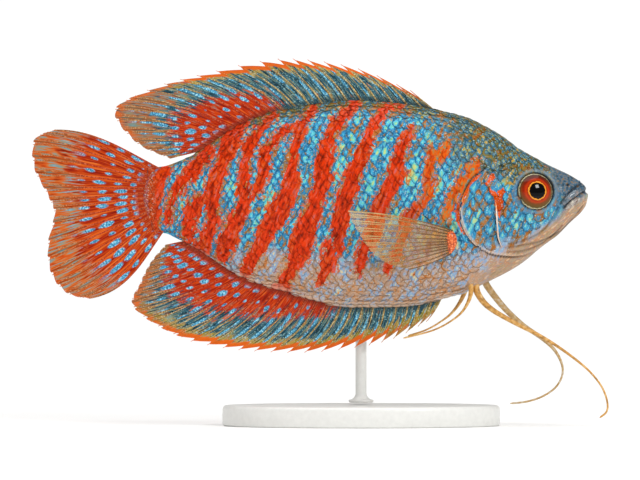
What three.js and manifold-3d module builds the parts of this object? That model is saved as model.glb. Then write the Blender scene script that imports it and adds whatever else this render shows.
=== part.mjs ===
// Male dwarf gourami (Trichogaster lalius), life size, as a still display model on a small stand.
// Millimetres. +X is the way the fish faces, +Y is its left side and +Z is up.
// The fish is drawn about a point in the middle of its flank and then lifted over the floor.
import * as THREE from "three";
import { mergeVertices } from "three/addons/utils/BufferGeometryUtils.js";
import Module from "manifold-3d";

const wasm = await Module();
wasm.setup();

// Gap between two pieces that touch, and the clear height under the lowest feeler
const GAP = 0.3;
const FLOOR_CLEARANCE = 1.0;

// The body from snout to tail root: height of back and belly, and half of the width
const BODY = [
  { x: 38.7, back: 0.9, belly: 0.7, half: 0.2 },
  { x: 38.4, back: 1.8, belly: -0.4, half: 1.0 },
  { x: 37.6, back: 2.6, belly: -1.4, half: 1.75 },
  { x: 36.4, back: 3.4, belly: -2.6, half: 2.45 },
  { x: 34.7, back: 4.3, belly: -4.5, half: 3.2 },
  { x: 31.8, back: 5.8, belly: -7.0, half: 4.1 },
  { x: 28.9, back: 7.4, belly: -9.4, half: 4.75 },
  { x: 26.0, back: 9.5, belly: -11.1, half: 5.15 },
  { x: 20.3, back: 12.2, belly: -13.6, half: 5.5 },
  { x: 11.6, back: 13.9, belly: -15.4, half: 5.4 },
  { x: 5.0, back: 14.35, belly: -15.5, half: 5.0 },
  { x: -5.7, back: 12.9, belly: -13.0, half: 4.1 },
  { x: -11.5, back: 10.9, belly: -11.0, half: 3.3 },
  { x: -18.7, back: 6.4, belly: -6.7, half: 2.0 },
  { x: -22.7, back: 5.1, belly: -5.3, half: 1.3 },
  { x: -26.6, back: 5.1, belly: -5.9, half: 0.75 },
];
// The body is widest a little above the middle of its height
const WIDEST = 0.54;
// A section is round on the head and leaner towards back and belly farther aft
const LEAN_HEAD = 0.92;
const LEAN_TAIL = 1.2;
const SLICES = 42;
// Copies of the body that only cut other pieces have fewer slices
const CUTTER_SLICES = 26;
const ROUND = 32;

// Lines that part the body, in side view as x and z
const GILL_SLIT = [
  [24.2, 13.5], [25.3, 8.4], [24.2, 4.7], [22.0, 2.9], [20.7, 0.5], [20.2, -1.9],
  [20.7, -4.0], [21.8, -5.8], [23.6, -7.4], [25.0, -9.6], [25.4, -13.0],
];
const MOUTH_SLIT = [[39.6, 1.5], [38.0, 0.85], [36.4, 0.1], [34.9, -0.7]];
const JAW_SLIT = [[34.9, -0.6], [34.8, -1.9], [34.4, -3.7], [33.0, -6.9]];
const TAIL_SLIT = [[-18.5, 9.0], [-19.5, 3.6], [-19.8, 0.0], [-19.2, -3.6], [-17.9, -9.0]];
const TAIL_FIN_SLIT = [
  [-24.4, 7.0], [-25.1, 4.0], [-25.7, 1.2], [-25.7, -0.4], [-25.2, -2.4], [-24.1, -4.6], [-22.0, -7.2],
];

// Gill covers: a plate between the cheek line and the gill slit, proud of the head
const COVER_FRONT = [
  [24.2, 4.7], [24.6, 2.5], [24.9, 0.7], [25.3, -1.2], [25.7, -3.6], [26.3, -5.6], [27.6, -7.2], [29.0, -7.7],
];
const COVER_LOWER = [[26.0, -8.2], [29.0, -7.7]];
const COVER_PROUD = 0.22;
const COVER_THICK = 0.75;

// Eyes: the ball, how deep its centre lies under the skin, and the raised rim of the orbit
const EYE_AT = [31.3, 1.25];
const EYE_RADIUS = 2.4;
const EYE_BULGE = 1.25;
const EYE_DEPTH = 0.5;
const ORBIT_RADIUS = 2.62;
const ORBIT_THICK = 0.36;

const NOSTRIL_AT = [35.5, 2.15];
const NOSTRIL_RADIUS = 0.3;
const LIP_RADIUS = 0.38;

// Rays of each fin, front to rear or top to bottom: root, tip and how far the ray bows.
// A root without a height sits on the back or belly.
const DORSAL = {
  count: 24,
  ridge: [0.95, 0.55],
  notch: [0.16, 0.03],
  sway: 0.7,
  keys: [
    { root: [15.6], tip: [13.3, 15.6], bow: 0 },
    { root: [10.5], tip: [6.1, 18.7], bow: 0.3 },
    { root: [4.2], tip: [-0.9, 20.0], bow: 0.4 },
    { root: [-1.0], tip: [-7.3, 20.0], bow: 0.4 },
    { root: [-6.5], tip: [-16.1, 18.2], bow: 0.6 },
    { root: [-10.7], tip: [-23.0, 16.4], bow: 0.7 },
    { root: [-14.1], tip: [-29.5, 13.1], bow: 0.7 },
    { root: [-16.5], tip: [-26.5, 8.3], bow: 0.3 },
    { root: [-18.6], tip: [-21.6, 6.0], bow: 0 },
  ],
};
const ANAL = {
  count: 30,
  ridge: [0.95, 0.55],
  notch: [0.2, 0.02],
  sway: 0.7,
  keys: [
    { root: [17.2], tip: [15.6, -17.3], bow: -0.1 },
    { root: [12.8], tip: [11.0, -19.7], bow: -0.3 },
    { root: [8.0], tip: [5.7, -21.0], bow: -0.4 },
    { root: [3.4], tip: [-1.2, -21.8], bow: -0.6 },
    { root: [-1.4], tip: [-8.2, -21.7], bow: -0.7 },
    { root: [-5.8], tip: [-14.8, -21.0], bow: -0.7 },
    { root: [-9.8], tip: [-21.4, -19.2], bow: -0.7 },
    { root: [-13.2], tip: [-26.9, -15.4], bow: -0.5 },
    { root: [-16.6], tip: [-25.9, -12.0], bow: -0.3 },
    { root: [-18.7], tip: [-24.3, -8.9], bow: -0.1 },
    { root: [-20.3], tip: [-22.2, -6.5], bow: 0 },
  ],
};
const TAIL_FIN = {
  count: 16,
  ridge: [0.9, 0.55],
  notch: [0.02, 0.02],
  sway: 0.8,
  keys: [
    { root: [-24.9, 4.7], tip: [-38.3, 10.1], bow: 1.45 },
    { root: [-25.4, 3.6], tip: [-41.2, 8.7], bow: 0.8 },
    { root: [-25.8, 2.4], tip: [-41.2, 4.6], bow: 0.2 },
    { root: [-26.0, 1.2], tip: [-39.2, 0.6], bow: 0 },
    { root: [-26.0, -0.2], tip: [-38.3, -2.0], bow: 0 },
    { root: [-25.8, -1.6], tip: [-39.2, -6.6], bow: 0 },
    { root: [-25.3, -2.9], tip: [-38.6, -10.8], bow: -0.5 },
    { root: [-24.7, -4.0], tip: [-36.3, -13.5], bow: -1.1 },
    { root: [-24.0, -5.1], tip: [-33.2, -14.2], bow: -1.8 },
  ],
};
const PECTORAL = {
  count: 10,
  ridge: [0.8, 0.5],
  notch: [0.02, 0.02],
  sway: 0,
  keys: [
    { root: [18.7, -4.3], tip: [4.0, -1.6], bow: 0.5 },
    { root: [18.4, -5.0], tip: [4.7, -3.4], bow: 0.3 },
    { root: [18.2, -5.8], tip: [6.2, -5.8], bow: 0 },
    { root: [18.2, -6.5], tip: [7.6, -7.7], bow: 0 },
    { root: [18.2, -7.2], tip: [9.8, -9.2], bow: -0.1 },
    { root: [18.5, -7.9], tip: [12.8, -10.0], bow: -0.2 },
  ],
};
const MEMBRANE = 0.5;
const RAY_ROWS = 5;
// Pectoral fins stand off the flank: angle, and the fleshy knob at the root
const PECTORAL_FLARE = THREE.MathUtils.degToRad(11);
const KNOB_AT = [18.9, -6.1];
const KNOB_SIZE = [0.95, 2.35];
const KNOB_THICK = 0.95;

// Feelers, the long thread of each pelvic fin: x, distance from the middle plane, z.
// The right one is nearer the front of the picture plane.
const FEELER_RIGHT = [
  [22.6, 0.9, -10.5], [22.6, 1.1, -13.0], [23.6, 1.4, -14.7], [25.3, 1.8, -16.1], [28.3, 2.2, -17.8],
  [31.8, 2.7, -19.6], [34.7, 3.0, -21.4], [37.5, 3.3, -23.5], [39.2, 3.5, -25.1], [40.6, 3.7, -27.0],
  [41.3, 3.8, -29.0], [41.2, 3.8, -30.4], [40.2, 3.7, -31.3],
];
const FEELER_LEFT = [
  [23.4, 1.0, -10.5], [24.4, 1.2, -12.7], [26.7, 1.5, -15.6], [29.3, 1.9, -18.0], [31.9, 2.2, -19.8],
  [33.9, 2.5, -21.6], [35.0, 2.7, -23.6], [35.1, 2.8, -25.3], [34.2, 2.8, -27.0], [32.4, 2.7, -28.3],
  [30.1, 2.6, -29.1], [27.5, 2.4, -29.4],
];
const FEELER_RADII = [0.56, 0.42, 0.36, 0.33, 0.26];
const FEELER_LENGTHS = 3;
// The short second ray behind each feeler
const SHORT_RIGHT = [
  [21.5, 1.6, -10.5], [21.8, 1.7, -12.6], [21.5, 1.8, -14.4], [20.5, 1.9, -16.1], [18.8, 2.0, -17.5],
  [16.2, 2.0, -18.8], [12.0, 2.0, -19.9],
];
const SHORT_LEFT = [
  [21.4, 1.5, -10.5], [21.1, 1.6, -12.9], [20.3, 1.7, -14.7], [19.0, 1.8, -16.4], [17.3, 1.9, -17.7],
  [15.3, 2.0, -18.8], [12.8, 2.0, -19.6],
];
const SHORT_RADII = [0.5, 0.42, 0.34, 0.25];

// Stand: an oval base and one rod with a small cup, on the far side of the anal fin
const BASE_LENGTH = 40;
const BASE_WIDTH = 26;
const BASE_HEIGHT = 3;
const BASE_BEVEL = 0.6;
const BASE_X = 6.0;
const ROD_AT = [6.0, 2.5];
const ROD_RADIUS = 0.8;
const CUP_RADIUS = 1.7;
const CUP_HEIGHT = 2.2;
const FOOT_RADIUS = 1.8;
const FOOT_HEIGHT = 0.8;

// A smooth curve through keys sorted along x that never swings past them
function smooth(keys, field) {
  const sorted = [...keys].sort((a, b) => a.x - b.x);
  const xs = sorted.map((key) => key.x);
  const ys = sorted.map((key) => key[field]);
  const steps = xs.slice(1).map((x, i) => (ys[i + 1] - ys[i]) / (x - xs[i]));
  const slopes = xs.map((_, i) => {
    if (i === 0) return steps[0];
    if (i === xs.length - 1) return steps[i - 1];
    const product = steps[i - 1] * steps[i];
    return product <= 0 ? 0 : (2 * product) / (steps[i - 1] + steps[i]);
  });
  return (x) => {
    let i = 0;
    while (i < xs.length - 2 && x > xs[i + 1]) i += 1;
    const width = xs[i + 1] - xs[i];
    const t = THREE.MathUtils.clamp((x - xs[i]) / width, 0, 1);
    const a = (1 + 2 * t) * (1 - t) ** 2 * ys[i];
    const b = t * (1 - t) ** 2 * width * slopes[i];
    const c = t ** 2 * (3 - 2 * t) * ys[i + 1];
    const d = t ** 2 * (t - 1) * width * slopes[i + 1];
    return a + b + c + d;
  };
}

const back = smooth(BODY, "back");
const belly = smooth(BODY, "belly");
const half = smooth(BODY, "half");
const SNOUT_X = BODY[0].x;
const TAIL_X = BODY[BODY.length - 1].x;

function lean(x) {
  return THREE.MathUtils.lerp(LEAN_TAIL, LEAN_HEAD, THREE.MathUtils.smoothstep(x, -20, 34));
}

function widestHeight(x) {
  return THREE.MathUtils.lerp(belly(x), back(x), WIDEST);
}

// Half of the body's width at a place in side view, with the skin moved out by some depth
function flank(x, z, out = 0) {
  const middle = widestHeight(x);
  const reach = z > middle ? back(x) + out - middle : middle - belly(x) + out;
  const up = Math.min(Math.abs(z - middle) / reach, 1);
  return (half(x) + out) * Math.sqrt(1 - up * up) ** lean(x);
}

// The outward direction of the flank, for the left side (1) or the right (-1)
function flankNormal(x, z, side) {
  const step = 0.2;
  const alongX = (flank(x + step, z) - flank(x - step, z)) / (2 * step);
  const alongZ = (flank(x, z + step) - flank(x, z - step)) / (2 * step);
  return new THREE.Vector3(-alongX, side, -alongZ).normalize();
}

// A closed solid from a geometry: one set of shared corners, no triangle without area
function solidFrom(geometry) {
  const bare = new THREE.BufferGeometry();
  bare.setAttribute("position", geometry.getAttribute("position"));
  bare.setIndex(geometry.getIndex());
  const merged = mergeVertices(bare, 1e-4);
  const corners = merged.getIndex().array;
  const kept = [];
  for (let i = 0; i < corners.length; i += 3) {
    const [a, b, c] = [corners[i], corners[i + 1], corners[i + 2]];
    if (a !== b && b !== c && c !== a) kept.push(a, b, c);
  }
  const vertProperties = merged.getAttribute("position").array;
  const make = (list) => {
    const triVerts = new Uint32Array(list);
    return new wasm.Manifold(new wasm.Mesh({ numProp: 3, vertProperties, triVerts }));
  };
  const made = make(kept);
  return made.volume() > 0 ? made : make(kept.reverse());
}

function geometryFrom(points, triangles) {
  const geometry = new THREE.BufferGeometry();
  geometry.setAttribute("position", new THREE.Float32BufferAttribute(points.flat(), 3));
  geometry.setIndex(triangles);
  return geometry;
}

// Rings of points joined into a closed skin, with a fan at each end
function loft(rings) {
  const around = rings[0].length;
  const points = rings.flat();
  const triangles = [];
  for (let r = 0; r < rings.length - 1; r += 1) {
    for (let i = 0; i < around; i += 1) {
      const a = r * around + i;
      const b = r * around + ((i + 1) % around);
      triangles.push(a, b, b + around, a, b + around, a + around);
    }
  }
  for (const [first, turned] of [[0, false], [(rings.length - 1) * around, true]]) {
    const ring = points.slice(first, first + around);
    const middle = [0, 1, 2].map((axis) => ring.reduce((sum, p) => sum + p[axis], 0) / around);
    const centre = points.push(middle) - 1;
    for (let i = 0; i < around; i += 1) {
      const a = first + i;
      const b = first + ((i + 1) % around);
      triangles.push(...(turned ? [a, b, centre] : [b, a, centre]));
    }
  }
  return geometryFrom(points, triangles);
}

// The whole body, or a copy with its skin moved in or out; slices are closer at the snout
function bodySolid(out = 0, slices = SLICES) {
  const rings = [];
  for (let s = 0; s <= slices; s += 1) {
    const x = SNOUT_X - (SNOUT_X - TAIL_X) * (s / slices) ** 1.25;
    const middle = widestHeight(x);
    const ring = [];
    for (let i = 0; i < ROUND; i += 1) {
      const angle = (2 * Math.PI * i) / ROUND;
      const up = Math.cos(angle);
      const reach = up > 0 ? back(x) + out - middle : middle - belly(x) + out;
      const width = (half(x) + out) * Math.abs(Math.sin(angle)) ** lean(x);
      ring.push([x, Math.sign(Math.sin(angle)) * width, middle + reach * up]);
    }
    rings.push(ring);
  }
  return solidFrom(loft(rings));
}

// A prism over an outline in side view, between two distances from the middle plane
function prism(outline, from, to) {
  const shape = new THREE.Shape(outline.map(([x, z]) => new THREE.Vector2(x, z)));
  const geometry = new THREE.ExtrudeGeometry(shape, { depth: to - from, bevelEnabled: false });
  geometry.rotateX(Math.PI / 2);
  geometry.translate(0, to, 0);
  return solidFrom(geometry);
}

function sideCurve(line, steps) {
  const curve = new THREE.SplineCurve(line.map(([x, z]) => new THREE.Vector2(x, z)));
  return curve.getSpacedPoints(steps);
}

// The line moved sideways by some distance, in side view
function shifted(points, distance) {
  return points.map((point, i) => {
    const before = points[Math.max(i - 1, 0)];
    const after = points[Math.min(i + 1, points.length - 1)];
    const along = after.clone().sub(before).normalize();
    return [point.x - along.y * distance, point.y + along.x * distance];
  });
}

// A thin curved wall right through the body, which parts it along a line
function slit(line, steps, width = GAP) {
  const points = sideCurve(line, steps);
  const outline = [...shifted(points, width / 2), ...shifted(points, -width / 2).reverse()];
  return prism(outline, -9, 9);
}

// A tapered strand along points, with radii spread evenly from root to tip
function strand(points, radii, steps, sides = 8) {
  const curve = new THREE.CatmullRomCurve3(points.map((p) => new THREE.Vector3(...p)));
  const frames = curve.computeFrenetFrames(steps, false);
  const rings = [];
  for (let s = 0; s <= steps; s += 1) {
    const centre = curve.getPointAt(s / steps);
    const place = (s / steps) * (radii.length - 1);
    const low = Math.min(Math.floor(place), radii.length - 2);
    const radius = THREE.MathUtils.lerp(radii[low], radii[low + 1], place - low);
    const ring = [];
    for (let i = 0; i < sides; i += 1) {
      const angle = (2 * Math.PI * i) / sides;
      const across = frames.normals[s].clone().multiplyScalar(Math.cos(angle) * radius);
      across.addScaledVector(frames.binormals[s], Math.sin(angle) * radius);
      ring.push(centre.clone().add(across).toArray());
    }
    rings.push(ring);
  }
  return solidFrom(loft(rings));
}

// The rays of a fin, spread evenly between its key rays
function raysOf(fin, rootHeight) {
  const roots = fin.keys.map((key) => {
    const [x, z] = key.root;
    return new THREE.Vector2(x, z === undefined ? rootHeight(x) : z);
  });
  const rootLine = new THREE.SplineCurve(roots);
  const tipLine = new THREE.SplineCurve(fin.keys.map((key) => new THREE.Vector2(...key.tip)));
  const bowLine = new THREE.SplineCurve(fin.keys.map((key) => new THREE.Vector2(key.bow, 0)));
  const rays = [];
  for (let i = 0; i < fin.count; i += 1) {
    const u = i / (fin.count - 1);
    const root = rootLine.getPoint(u);
    if (rootHeight) root.y = rootHeight(root.x);
    rays.push({ root, tip: tipLine.getPoint(u), bow: bowLine.getPoint(u).x });
  }
  return rays;
}

// A place along a ray, from 0 at its root to 1 at its tip
function alongRay(ray, t) {
  const point = ray.root.clone().lerp(ray.tip, t);
  const reach = ray.tip.clone().sub(ray.root);
  const across = new THREE.Vector2(reach.y, -reach.x).normalize();
  return point.addScaledVector(across, ray.bow * 4 * t * (1 - t));
}

// A fin: one closed sheet with both faces alike, where each ray is a low ridge.
// Between two rays lie two columns of membrane, which end short of the ray tips.
function finSolid(fin, rays, sideways) {
  const columns = [];
  rays.forEach((ray, i) => {
    const share = i / (rays.length - 1);
    const notch = THREE.MathUtils.lerp(fin.notch[0], fin.notch[1], Math.min(share * 1.6, 1));
    columns.push({ place: (t) => alongRay(ray, t), ridge: true, reach: 1 });
    if (i === rays.length - 1) return;
    for (const part of [0.3, 0.7]) {
      const place = (t) => alongRay(ray, t).lerp(alongRay(rays[i + 1], t), part);
      columns.push({ place, ridge: false, reach: 1 - notch });
    }
  });
  const rows = RAY_ROWS + 1;
  const faces = [[], []];
  for (const column of columns) {
    for (let r = 0; r < rows; r += 1) {
      const t = (r / RAY_ROWS) * column.reach;
      const point = column.place(t);
      const ridge = THREE.MathUtils.lerp(fin.ridge[0], fin.ridge[1], t);
      const thick = column.ridge ? ridge : MEMBRANE;
      const middle = sideways(point.x, point.y, t);
      faces[0].push([point.x, middle - thick / 2, point.y]);
      faces[1].push([point.x, middle + thick / 2, point.y]);
    }
  }
  const points = [...faces[0], ...faces[1]];
  const other = faces[0].length;
  const triangles = [];
  const wall = (a, b) => triangles.push(a, b, b + other, a, b + other, a + other);
  for (let c = 0; c < columns.length - 1; c += 1) {
    for (let r = 0; r < RAY_ROWS; r += 1) {
      const a = c * rows + r;
      const b = a + rows;
      triangles.push(a, b, b + 1, a, b + 1, a + 1);
      triangles.push(other + a, other + b + 1, other + b, other + a, other + a + 1, other + b + 1);
    }
    wall((c + 1) * rows, c * rows);
    wall(c * rows + RAY_ROWS, (c + 1) * rows + RAY_ROWS);
  }
  const last = (columns.length - 1) * rows;
  for (let r = 0; r < RAY_ROWS; r += 1) {
    wall(r, r + 1);
    wall(last + r + 1, last + r);
  }
  return solidFrom(geometryFrom(points, triangles));
}

// A solid that takes in two or more
function join(...solids) {
  return solids.reduce((sum, solid) => sum.add(solid));
}

// Pieces of a parted solid, the largest first
function piecesOf(solid) {
  return solid.decompose().sort((a, b) => b.volume() - a.volume());
}

// A round form set on the flank with its axis pointing out of the skin
function onFlank(geometry, [x, z], side, sunk) {
  const normal = flankNormal(x, z, side);
  const turn = new THREE.Quaternion().setFromUnitVectors(new THREE.Vector3(0, 1, 0), normal);
  const place = new THREE.Vector3(x, side * flank(x, z), z).addScaledVector(normal, -sunk);
  return geometry.applyQuaternion(turn).translate(place.x, place.y, place.z);
}

function eyeBall(side, grow = 0) {
  const ball = new THREE.SphereGeometry(1, 20, 10);
  ball.scale(EYE_RADIUS + grow, EYE_BULGE + grow, EYE_RADIUS + grow);
  return solidFrom(onFlank(ball, EYE_AT, side, EYE_DEPTH));
}

function orbitRim(side) {
  const rim = new THREE.TorusGeometry(ORBIT_RADIUS, ORBIT_THICK, 6, 22);
  rim.rotateX(Math.PI / 2);
  return solidFrom(onFlank(rim, EYE_AT, side, 0.08));
}

function nostril(side) {
  const pit = new THREE.CylinderGeometry(NOSTRIL_RADIUS, NOSTRIL_RADIUS * 0.7, 1, 8);
  return solidFrom(onFlank(pit, NOSTRIL_AT, side, 0));
}

// A lip follows the edge of the mouth from one corner round the snout to the other
function lip(above) {
  const [, , , corner] = MOUTH_SLIT;
  const edge = (x) => 0.85 + (x - 38.0) * 0.49 + above;
  const stops = [corner[0] + 0.1, 36.0, 37.0, 37.8];
  const left = stops.map((x) => [x, flank(x, edge(x)) - 0.12, edge(x)]);
  const right = [...left].reverse().map(([x, y, z]) => [x, -y, z]);
  const front = [38.2, 0, edge(38.2)];
  return strand([...left, front, ...right], [0.25, LIP_RADIUS, LIP_RADIUS, LIP_RADIUS, 0.25], 14, 6);
}

// A closed outline with each corner moved out by some distance
function grown(outline, distance) {
  const count = outline.length;
  return outline.map((point, i) => {
    const before = outline[(i + count - 1) % count];
    const after = outline[(i + 1) % count];
    const along = after.clone().sub(before).normalize();
    return [point.x + along.y * distance, point.y - along.x * distance];
  });
}

// The gill cover in side view: the cheek line, then the lower edge and the gill slit
function gillCoverOutline(spread) {
  const front = sideCurve(COVER_FRONT, 14);
  const rear = sideCurve([...GILL_SLIT.slice(2, 9), ...COVER_LOWER], 20);
  return grown([...front.reverse(), ...rear.slice(1, -1)], spread);
}

function gillCover(side) {
  const outside = bodySolid(COVER_PROUD, CUTTER_SLICES);
  const shell = outside.subtract(bodySolid(COVER_PROUD - COVER_THICK, CUTTER_SLICES));
  const [from, to] = side > 0 ? [1, 9] : [-9, -1];
  return shell.intersect(prism(gillCoverOutline(0), from, to)).subtract(gillSlit);
}

// Room for the gill cover in the head, a gap wider and deeper than the plate
function gillCoverRoom(side) {
  const [from, to] = side > 0 ? [1, 9] : [-9, -1];
  const region = prism(gillCoverOutline(GAP), from, to);
  return region.subtract(bodySolid(COVER_PROUD - COVER_THICK - GAP, CUTTER_SLICES));
}

const gillSlit = slit(GILL_SLIT, 30);
const SIDES = [["left", 1], ["right", -1]];

let whole = join(bodySolid(), lip(0.42), lip(-0.42));
for (const [, side] of SIDES) {
  whole = whole.add(orbitRim(side)).subtract(eyeBall(side, GAP)).subtract(nostril(side));
}
for (const cut of [gillSlit, slit(MOUTH_SLIT, 8), slit(JAW_SLIT, 8), slit(TAIL_SLIT, 10)]) {
  whole = whole.subtract(cut);
}
whole = whole.subtract(slit(TAIL_FIN_SLIT, 12));

// The parts of the body, told apart by where each one lies
function bodyPart(low, high, floor = -99) {
  return piecesOf(whole).find((piece) => {
    const { min, max } = piece.boundingBox();
    const x = (min[0] + max[0]) / 2;
    const z = (min[2] + max[2]) / 2;
    return x > low && x < high && z > floor;
  });
}
const roomForCovers = SIDES.map(([, side]) => gillCoverRoom(side));
const head = bodyPart(22, 34.5).subtract(join(...roomForCovers));
const jaw = bodyPart(34.5, 40);
const trunk = bodyPart(-10, 10);
const stalk = bodyPart(-24.5, -18);

// Wide gentle waves in a fin, none at its root
function wave(amount, length, phase) {
  return (x, z, t) => amount * t * t * Math.sin((x / length) * 2 * Math.PI + phase);
}

const dorsalRoot = (x) => back(x) + GAP + 0.05;
const analRoot = (x) => belly(x) - GAP - 0.05;
const dorsalFin = finSolid(DORSAL, raysOf(DORSAL, dorsalRoot), wave(DORSAL.sway, 26, 0.4));
const analFin = finSolid(ANAL, raysOf(ANAL, analRoot), wave(ANAL.sway, 24, 2.0));
const tailSway = (x, z, t) => TAIL_FIN.sway * t * t * Math.sin(z / 5 + 0.6);
const tailFin = finSolid(TAIL_FIN, raysOf(TAIL_FIN), tailSway);

function pectoralFin(side) {
  const rays = raysOf(PECTORAL);
  const rootX = 18.4;
  const start = flank(rootX, KNOB_AT[1]) + GAP + 0.45;
  const sideways = (x, z, t) => {
    const camber = 0.5 * Math.sin(Math.PI * t);
    return side * (start + (rootX - x) * Math.tan(PECTORAL_FLARE) + camber);
  };
  const knobOutline = new THREE.EllipseCurve(...KNOB_AT, ...KNOB_SIZE).getPoints(18).slice(0, -1);
  const [from, to] = side > 0 ? [1, 9] : [-9, -1];
  const knob = bodySolid(GAP + KNOB_THICK, CUTTER_SLICES)
    .subtract(bodySolid(GAP, CUTTER_SLICES))
    .intersect(prism(knobOutline.map((p) => [p.x, p.y]), from, to));
  return finSolid(PECTORAL, rays, sideways).add(knob).subtract(bodySolid(GAP, CUTTER_SLICES));
}

// A feeler in a few lengths, with a gap between one length and the next
function feeler(line, side) {
  const path = line.map(([x, y, z]) => [x, side * y, z]);
  const curve = new THREE.CatmullRomCurve3(path.map((p) => new THREE.Vector3(...p)));
  const length = curve.getLength();
  const lengths = [];
  for (let n = 0; n < FEELER_LENGTHS; n += 1) {
    const from = n / FEELER_LENGTHS + (n ? GAP / 2 / length : 0);
    const to = (n + 1) / FEELER_LENGTHS - (n < FEELER_LENGTHS - 1 ? GAP / 2 / length : 0);
    const steps = 10;
    const points = [];
    const radii = [];
    for (let s = 0; s <= steps; s += 1) {
      const u = THREE.MathUtils.lerp(from, to, s / steps);
      const place = u * (FEELER_RADII.length - 1);
      const low = Math.min(Math.floor(place), FEELER_RADII.length - 2);
      radii.push(THREE.MathUtils.lerp(FEELER_RADII[low], FEELER_RADII[low + 1], place - low));
      points.push(curve.getPointAt(u).toArray());
    }
    lengths.push(strand(points, radii, steps));
  }
  lengths[0] = lengths[0].subtract(bodySolid(GAP, CUTTER_SLICES));
  return lengths;
}

function shortRay(line, side) {
  const path = line.map(([x, y, z]) => [x, side * y, z]);
  return strand(path, SHORT_RADII, 10).subtract(bodySolid(GAP, CUTTER_SLICES));
}

const lowest = Math.min(...FEELER_RIGHT.map(([, , z]) => z)) - FEELER_RADII[FEELER_RADII.length - 1];
const lift = FLOOR_CLEARANCE - lowest;

function standBase() {
  const outline = new THREE.Shape();
  const [a, b] = [BASE_LENGTH / 2 - BASE_BEVEL, BASE_WIDTH / 2 - BASE_BEVEL];
  outline.absellipse(0, 0, a, b, 0, 2 * Math.PI);
  const geometry = new THREE.ExtrudeGeometry(outline, {
    depth: BASE_HEIGHT - BASE_BEVEL,
    bevelThickness: BASE_BEVEL,
    bevelSize: BASE_BEVEL,
    bevelSegments: 1,
    curveSegments: 32,
  });
  const full = solidFrom(geometry.translate(BASE_X, 0, 0));
  const below = new THREE.BoxGeometry(2 * BASE_LENGTH, 2 * BASE_WIDTH, 4);
  return full.subtract(solidFrom(below.translate(BASE_X, 0, -2)));
}

// The rod rises from a small foot to a cup that is cut to the belly
function standRod() {
  const [x, y] = ROD_AT;
  const bottom = BASE_HEIGHT + GAP;
  const skin = lift + widestHeight(x) - 0.6 * (widestHeight(x) - belly(x));
  const cupTop = skin + 2;
  const cupBase = lift + heightOnBelly(x, y) - CUP_HEIGHT;
  const profile = [
    [0, bottom], [FOOT_RADIUS, bottom], [FOOT_RADIUS, bottom + FOOT_HEIGHT * 0.6],
    [ROD_RADIUS, bottom + FOOT_HEIGHT + 0.6], [ROD_RADIUS, cupBase],
    [CUP_RADIUS, cupBase + CUP_HEIGHT * 0.7], [CUP_RADIUS, cupTop], [0, cupTop],
  ];
  const lathe = new THREE.LatheGeometry(profile.map(([r, h]) => new THREE.Vector2(r, h)), 16);
  lathe.rotateX(Math.PI / 2);
  lathe.translate(x, y, 0);
  const skinBody = bodySolid(GAP, CUTTER_SLICES).translate([0, 0, lift]);
  return piecesOf(solidFrom(lathe).subtract(skinBody)).sort(
    (p, q) => p.boundingBox().min[2] - q.boundingBox().min[2],
  )[0];
}

// Height of the belly at a distance from the middle plane
function heightOnBelly(x, y) {
  const middle = widestHeight(x);
  const turn = (y / half(x)) ** (1 / lean(x));
  return middle - (middle - belly(x)) * Math.sqrt(1 - turn * turn);
}

function material(color, roughness = 0.45, metalness = 0) {
  return new THREE.MeshStandardMaterial({ color, roughness, metalness });
}

const BLUE = material(0x5aa6c4, 0.35);
const HEAD_BLUE = material(0x6fa9b8, 0.35);
const JAW_TAN = material(0xc79a86, 0.45);
const ORANGE_RED = material(0xd2401a, 0.4);
const FIN_TEAL = material(0x4fa0a8, 0.4);
const FIN_RED = material(0xc4461e, 0.4);
const CLEAR_OLIVE = material(0x9a9a6a, 0.4);
const GOLD = material(0xd08a3a, 0.45);
const IRIS = material(0xd8602a, 0.15);
const STAND_GREY = material(0xd8d8d6, 0.5);

function meshOf(name, solid, look) {
  const { vertProperties, triVerts } = piecesOf(solid)[0].getMesh();
  const geometry = new THREE.BufferGeometry();
  geometry.setAttribute("position", new THREE.BufferAttribute(new Float32Array(vertProperties), 3));
  geometry.setIndex(new THREE.BufferAttribute(new Uint32Array(triVerts), 1));
  geometry.computeVertexNormals();
  const mesh = new THREE.Mesh(geometry, look);
  mesh.name = name;
  return mesh;
}

const fish = new THREE.Group();
fish.position.z = lift;
fish.add(meshOf("head", head, HEAD_BLUE));
fish.add(meshOf("lower_jaw", jaw, JAW_TAN));
fish.add(meshOf("trunk", trunk, BLUE));
fish.add(meshOf("tail_stalk", stalk, ORANGE_RED));
fish.add(meshOf("dorsal_fin", dorsalFin, FIN_TEAL));
fish.add(meshOf("anal_fin", analFin, FIN_TEAL));
fish.add(meshOf("tail_fin", tailFin, FIN_RED));
for (const [name, side] of SIDES) {
  fish.add(meshOf(`eye_${name}`, eyeBall(side), IRIS));
  fish.add(meshOf(`gill_cover_${name}`, gillCover(side), HEAD_BLUE));
  fish.add(meshOf(`pectoral_fin_${name}`, pectoralFin(side), CLEAR_OLIVE));
  feeler(side > 0 ? FEELER_LEFT : FEELER_RIGHT, side).forEach((length, n) => {
    fish.add(meshOf(`feeler_${name}_${n + 1}`, length, GOLD));
  });
  fish.add(meshOf(`short_ray_${name}`, shortRay(side > 0 ? SHORT_LEFT : SHORT_RIGHT, side), GOLD));
}

const model = new THREE.Group();
model.add(fish);
model.add(meshOf("stand_base", standBase(), STAND_GREY));
model.add(meshOf("stand_rod", standRod(), STAND_GREY));

export default model;
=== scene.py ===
"""Dwarf gourami, male: a life-size still model on a small display stand.

Sizes here are millimetres about a point in the middle of the fish's flank, x to its snout,
y to its left and z up. place() lifts them to the frame, which is in metres.
"""

import math
from functools import partial

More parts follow.
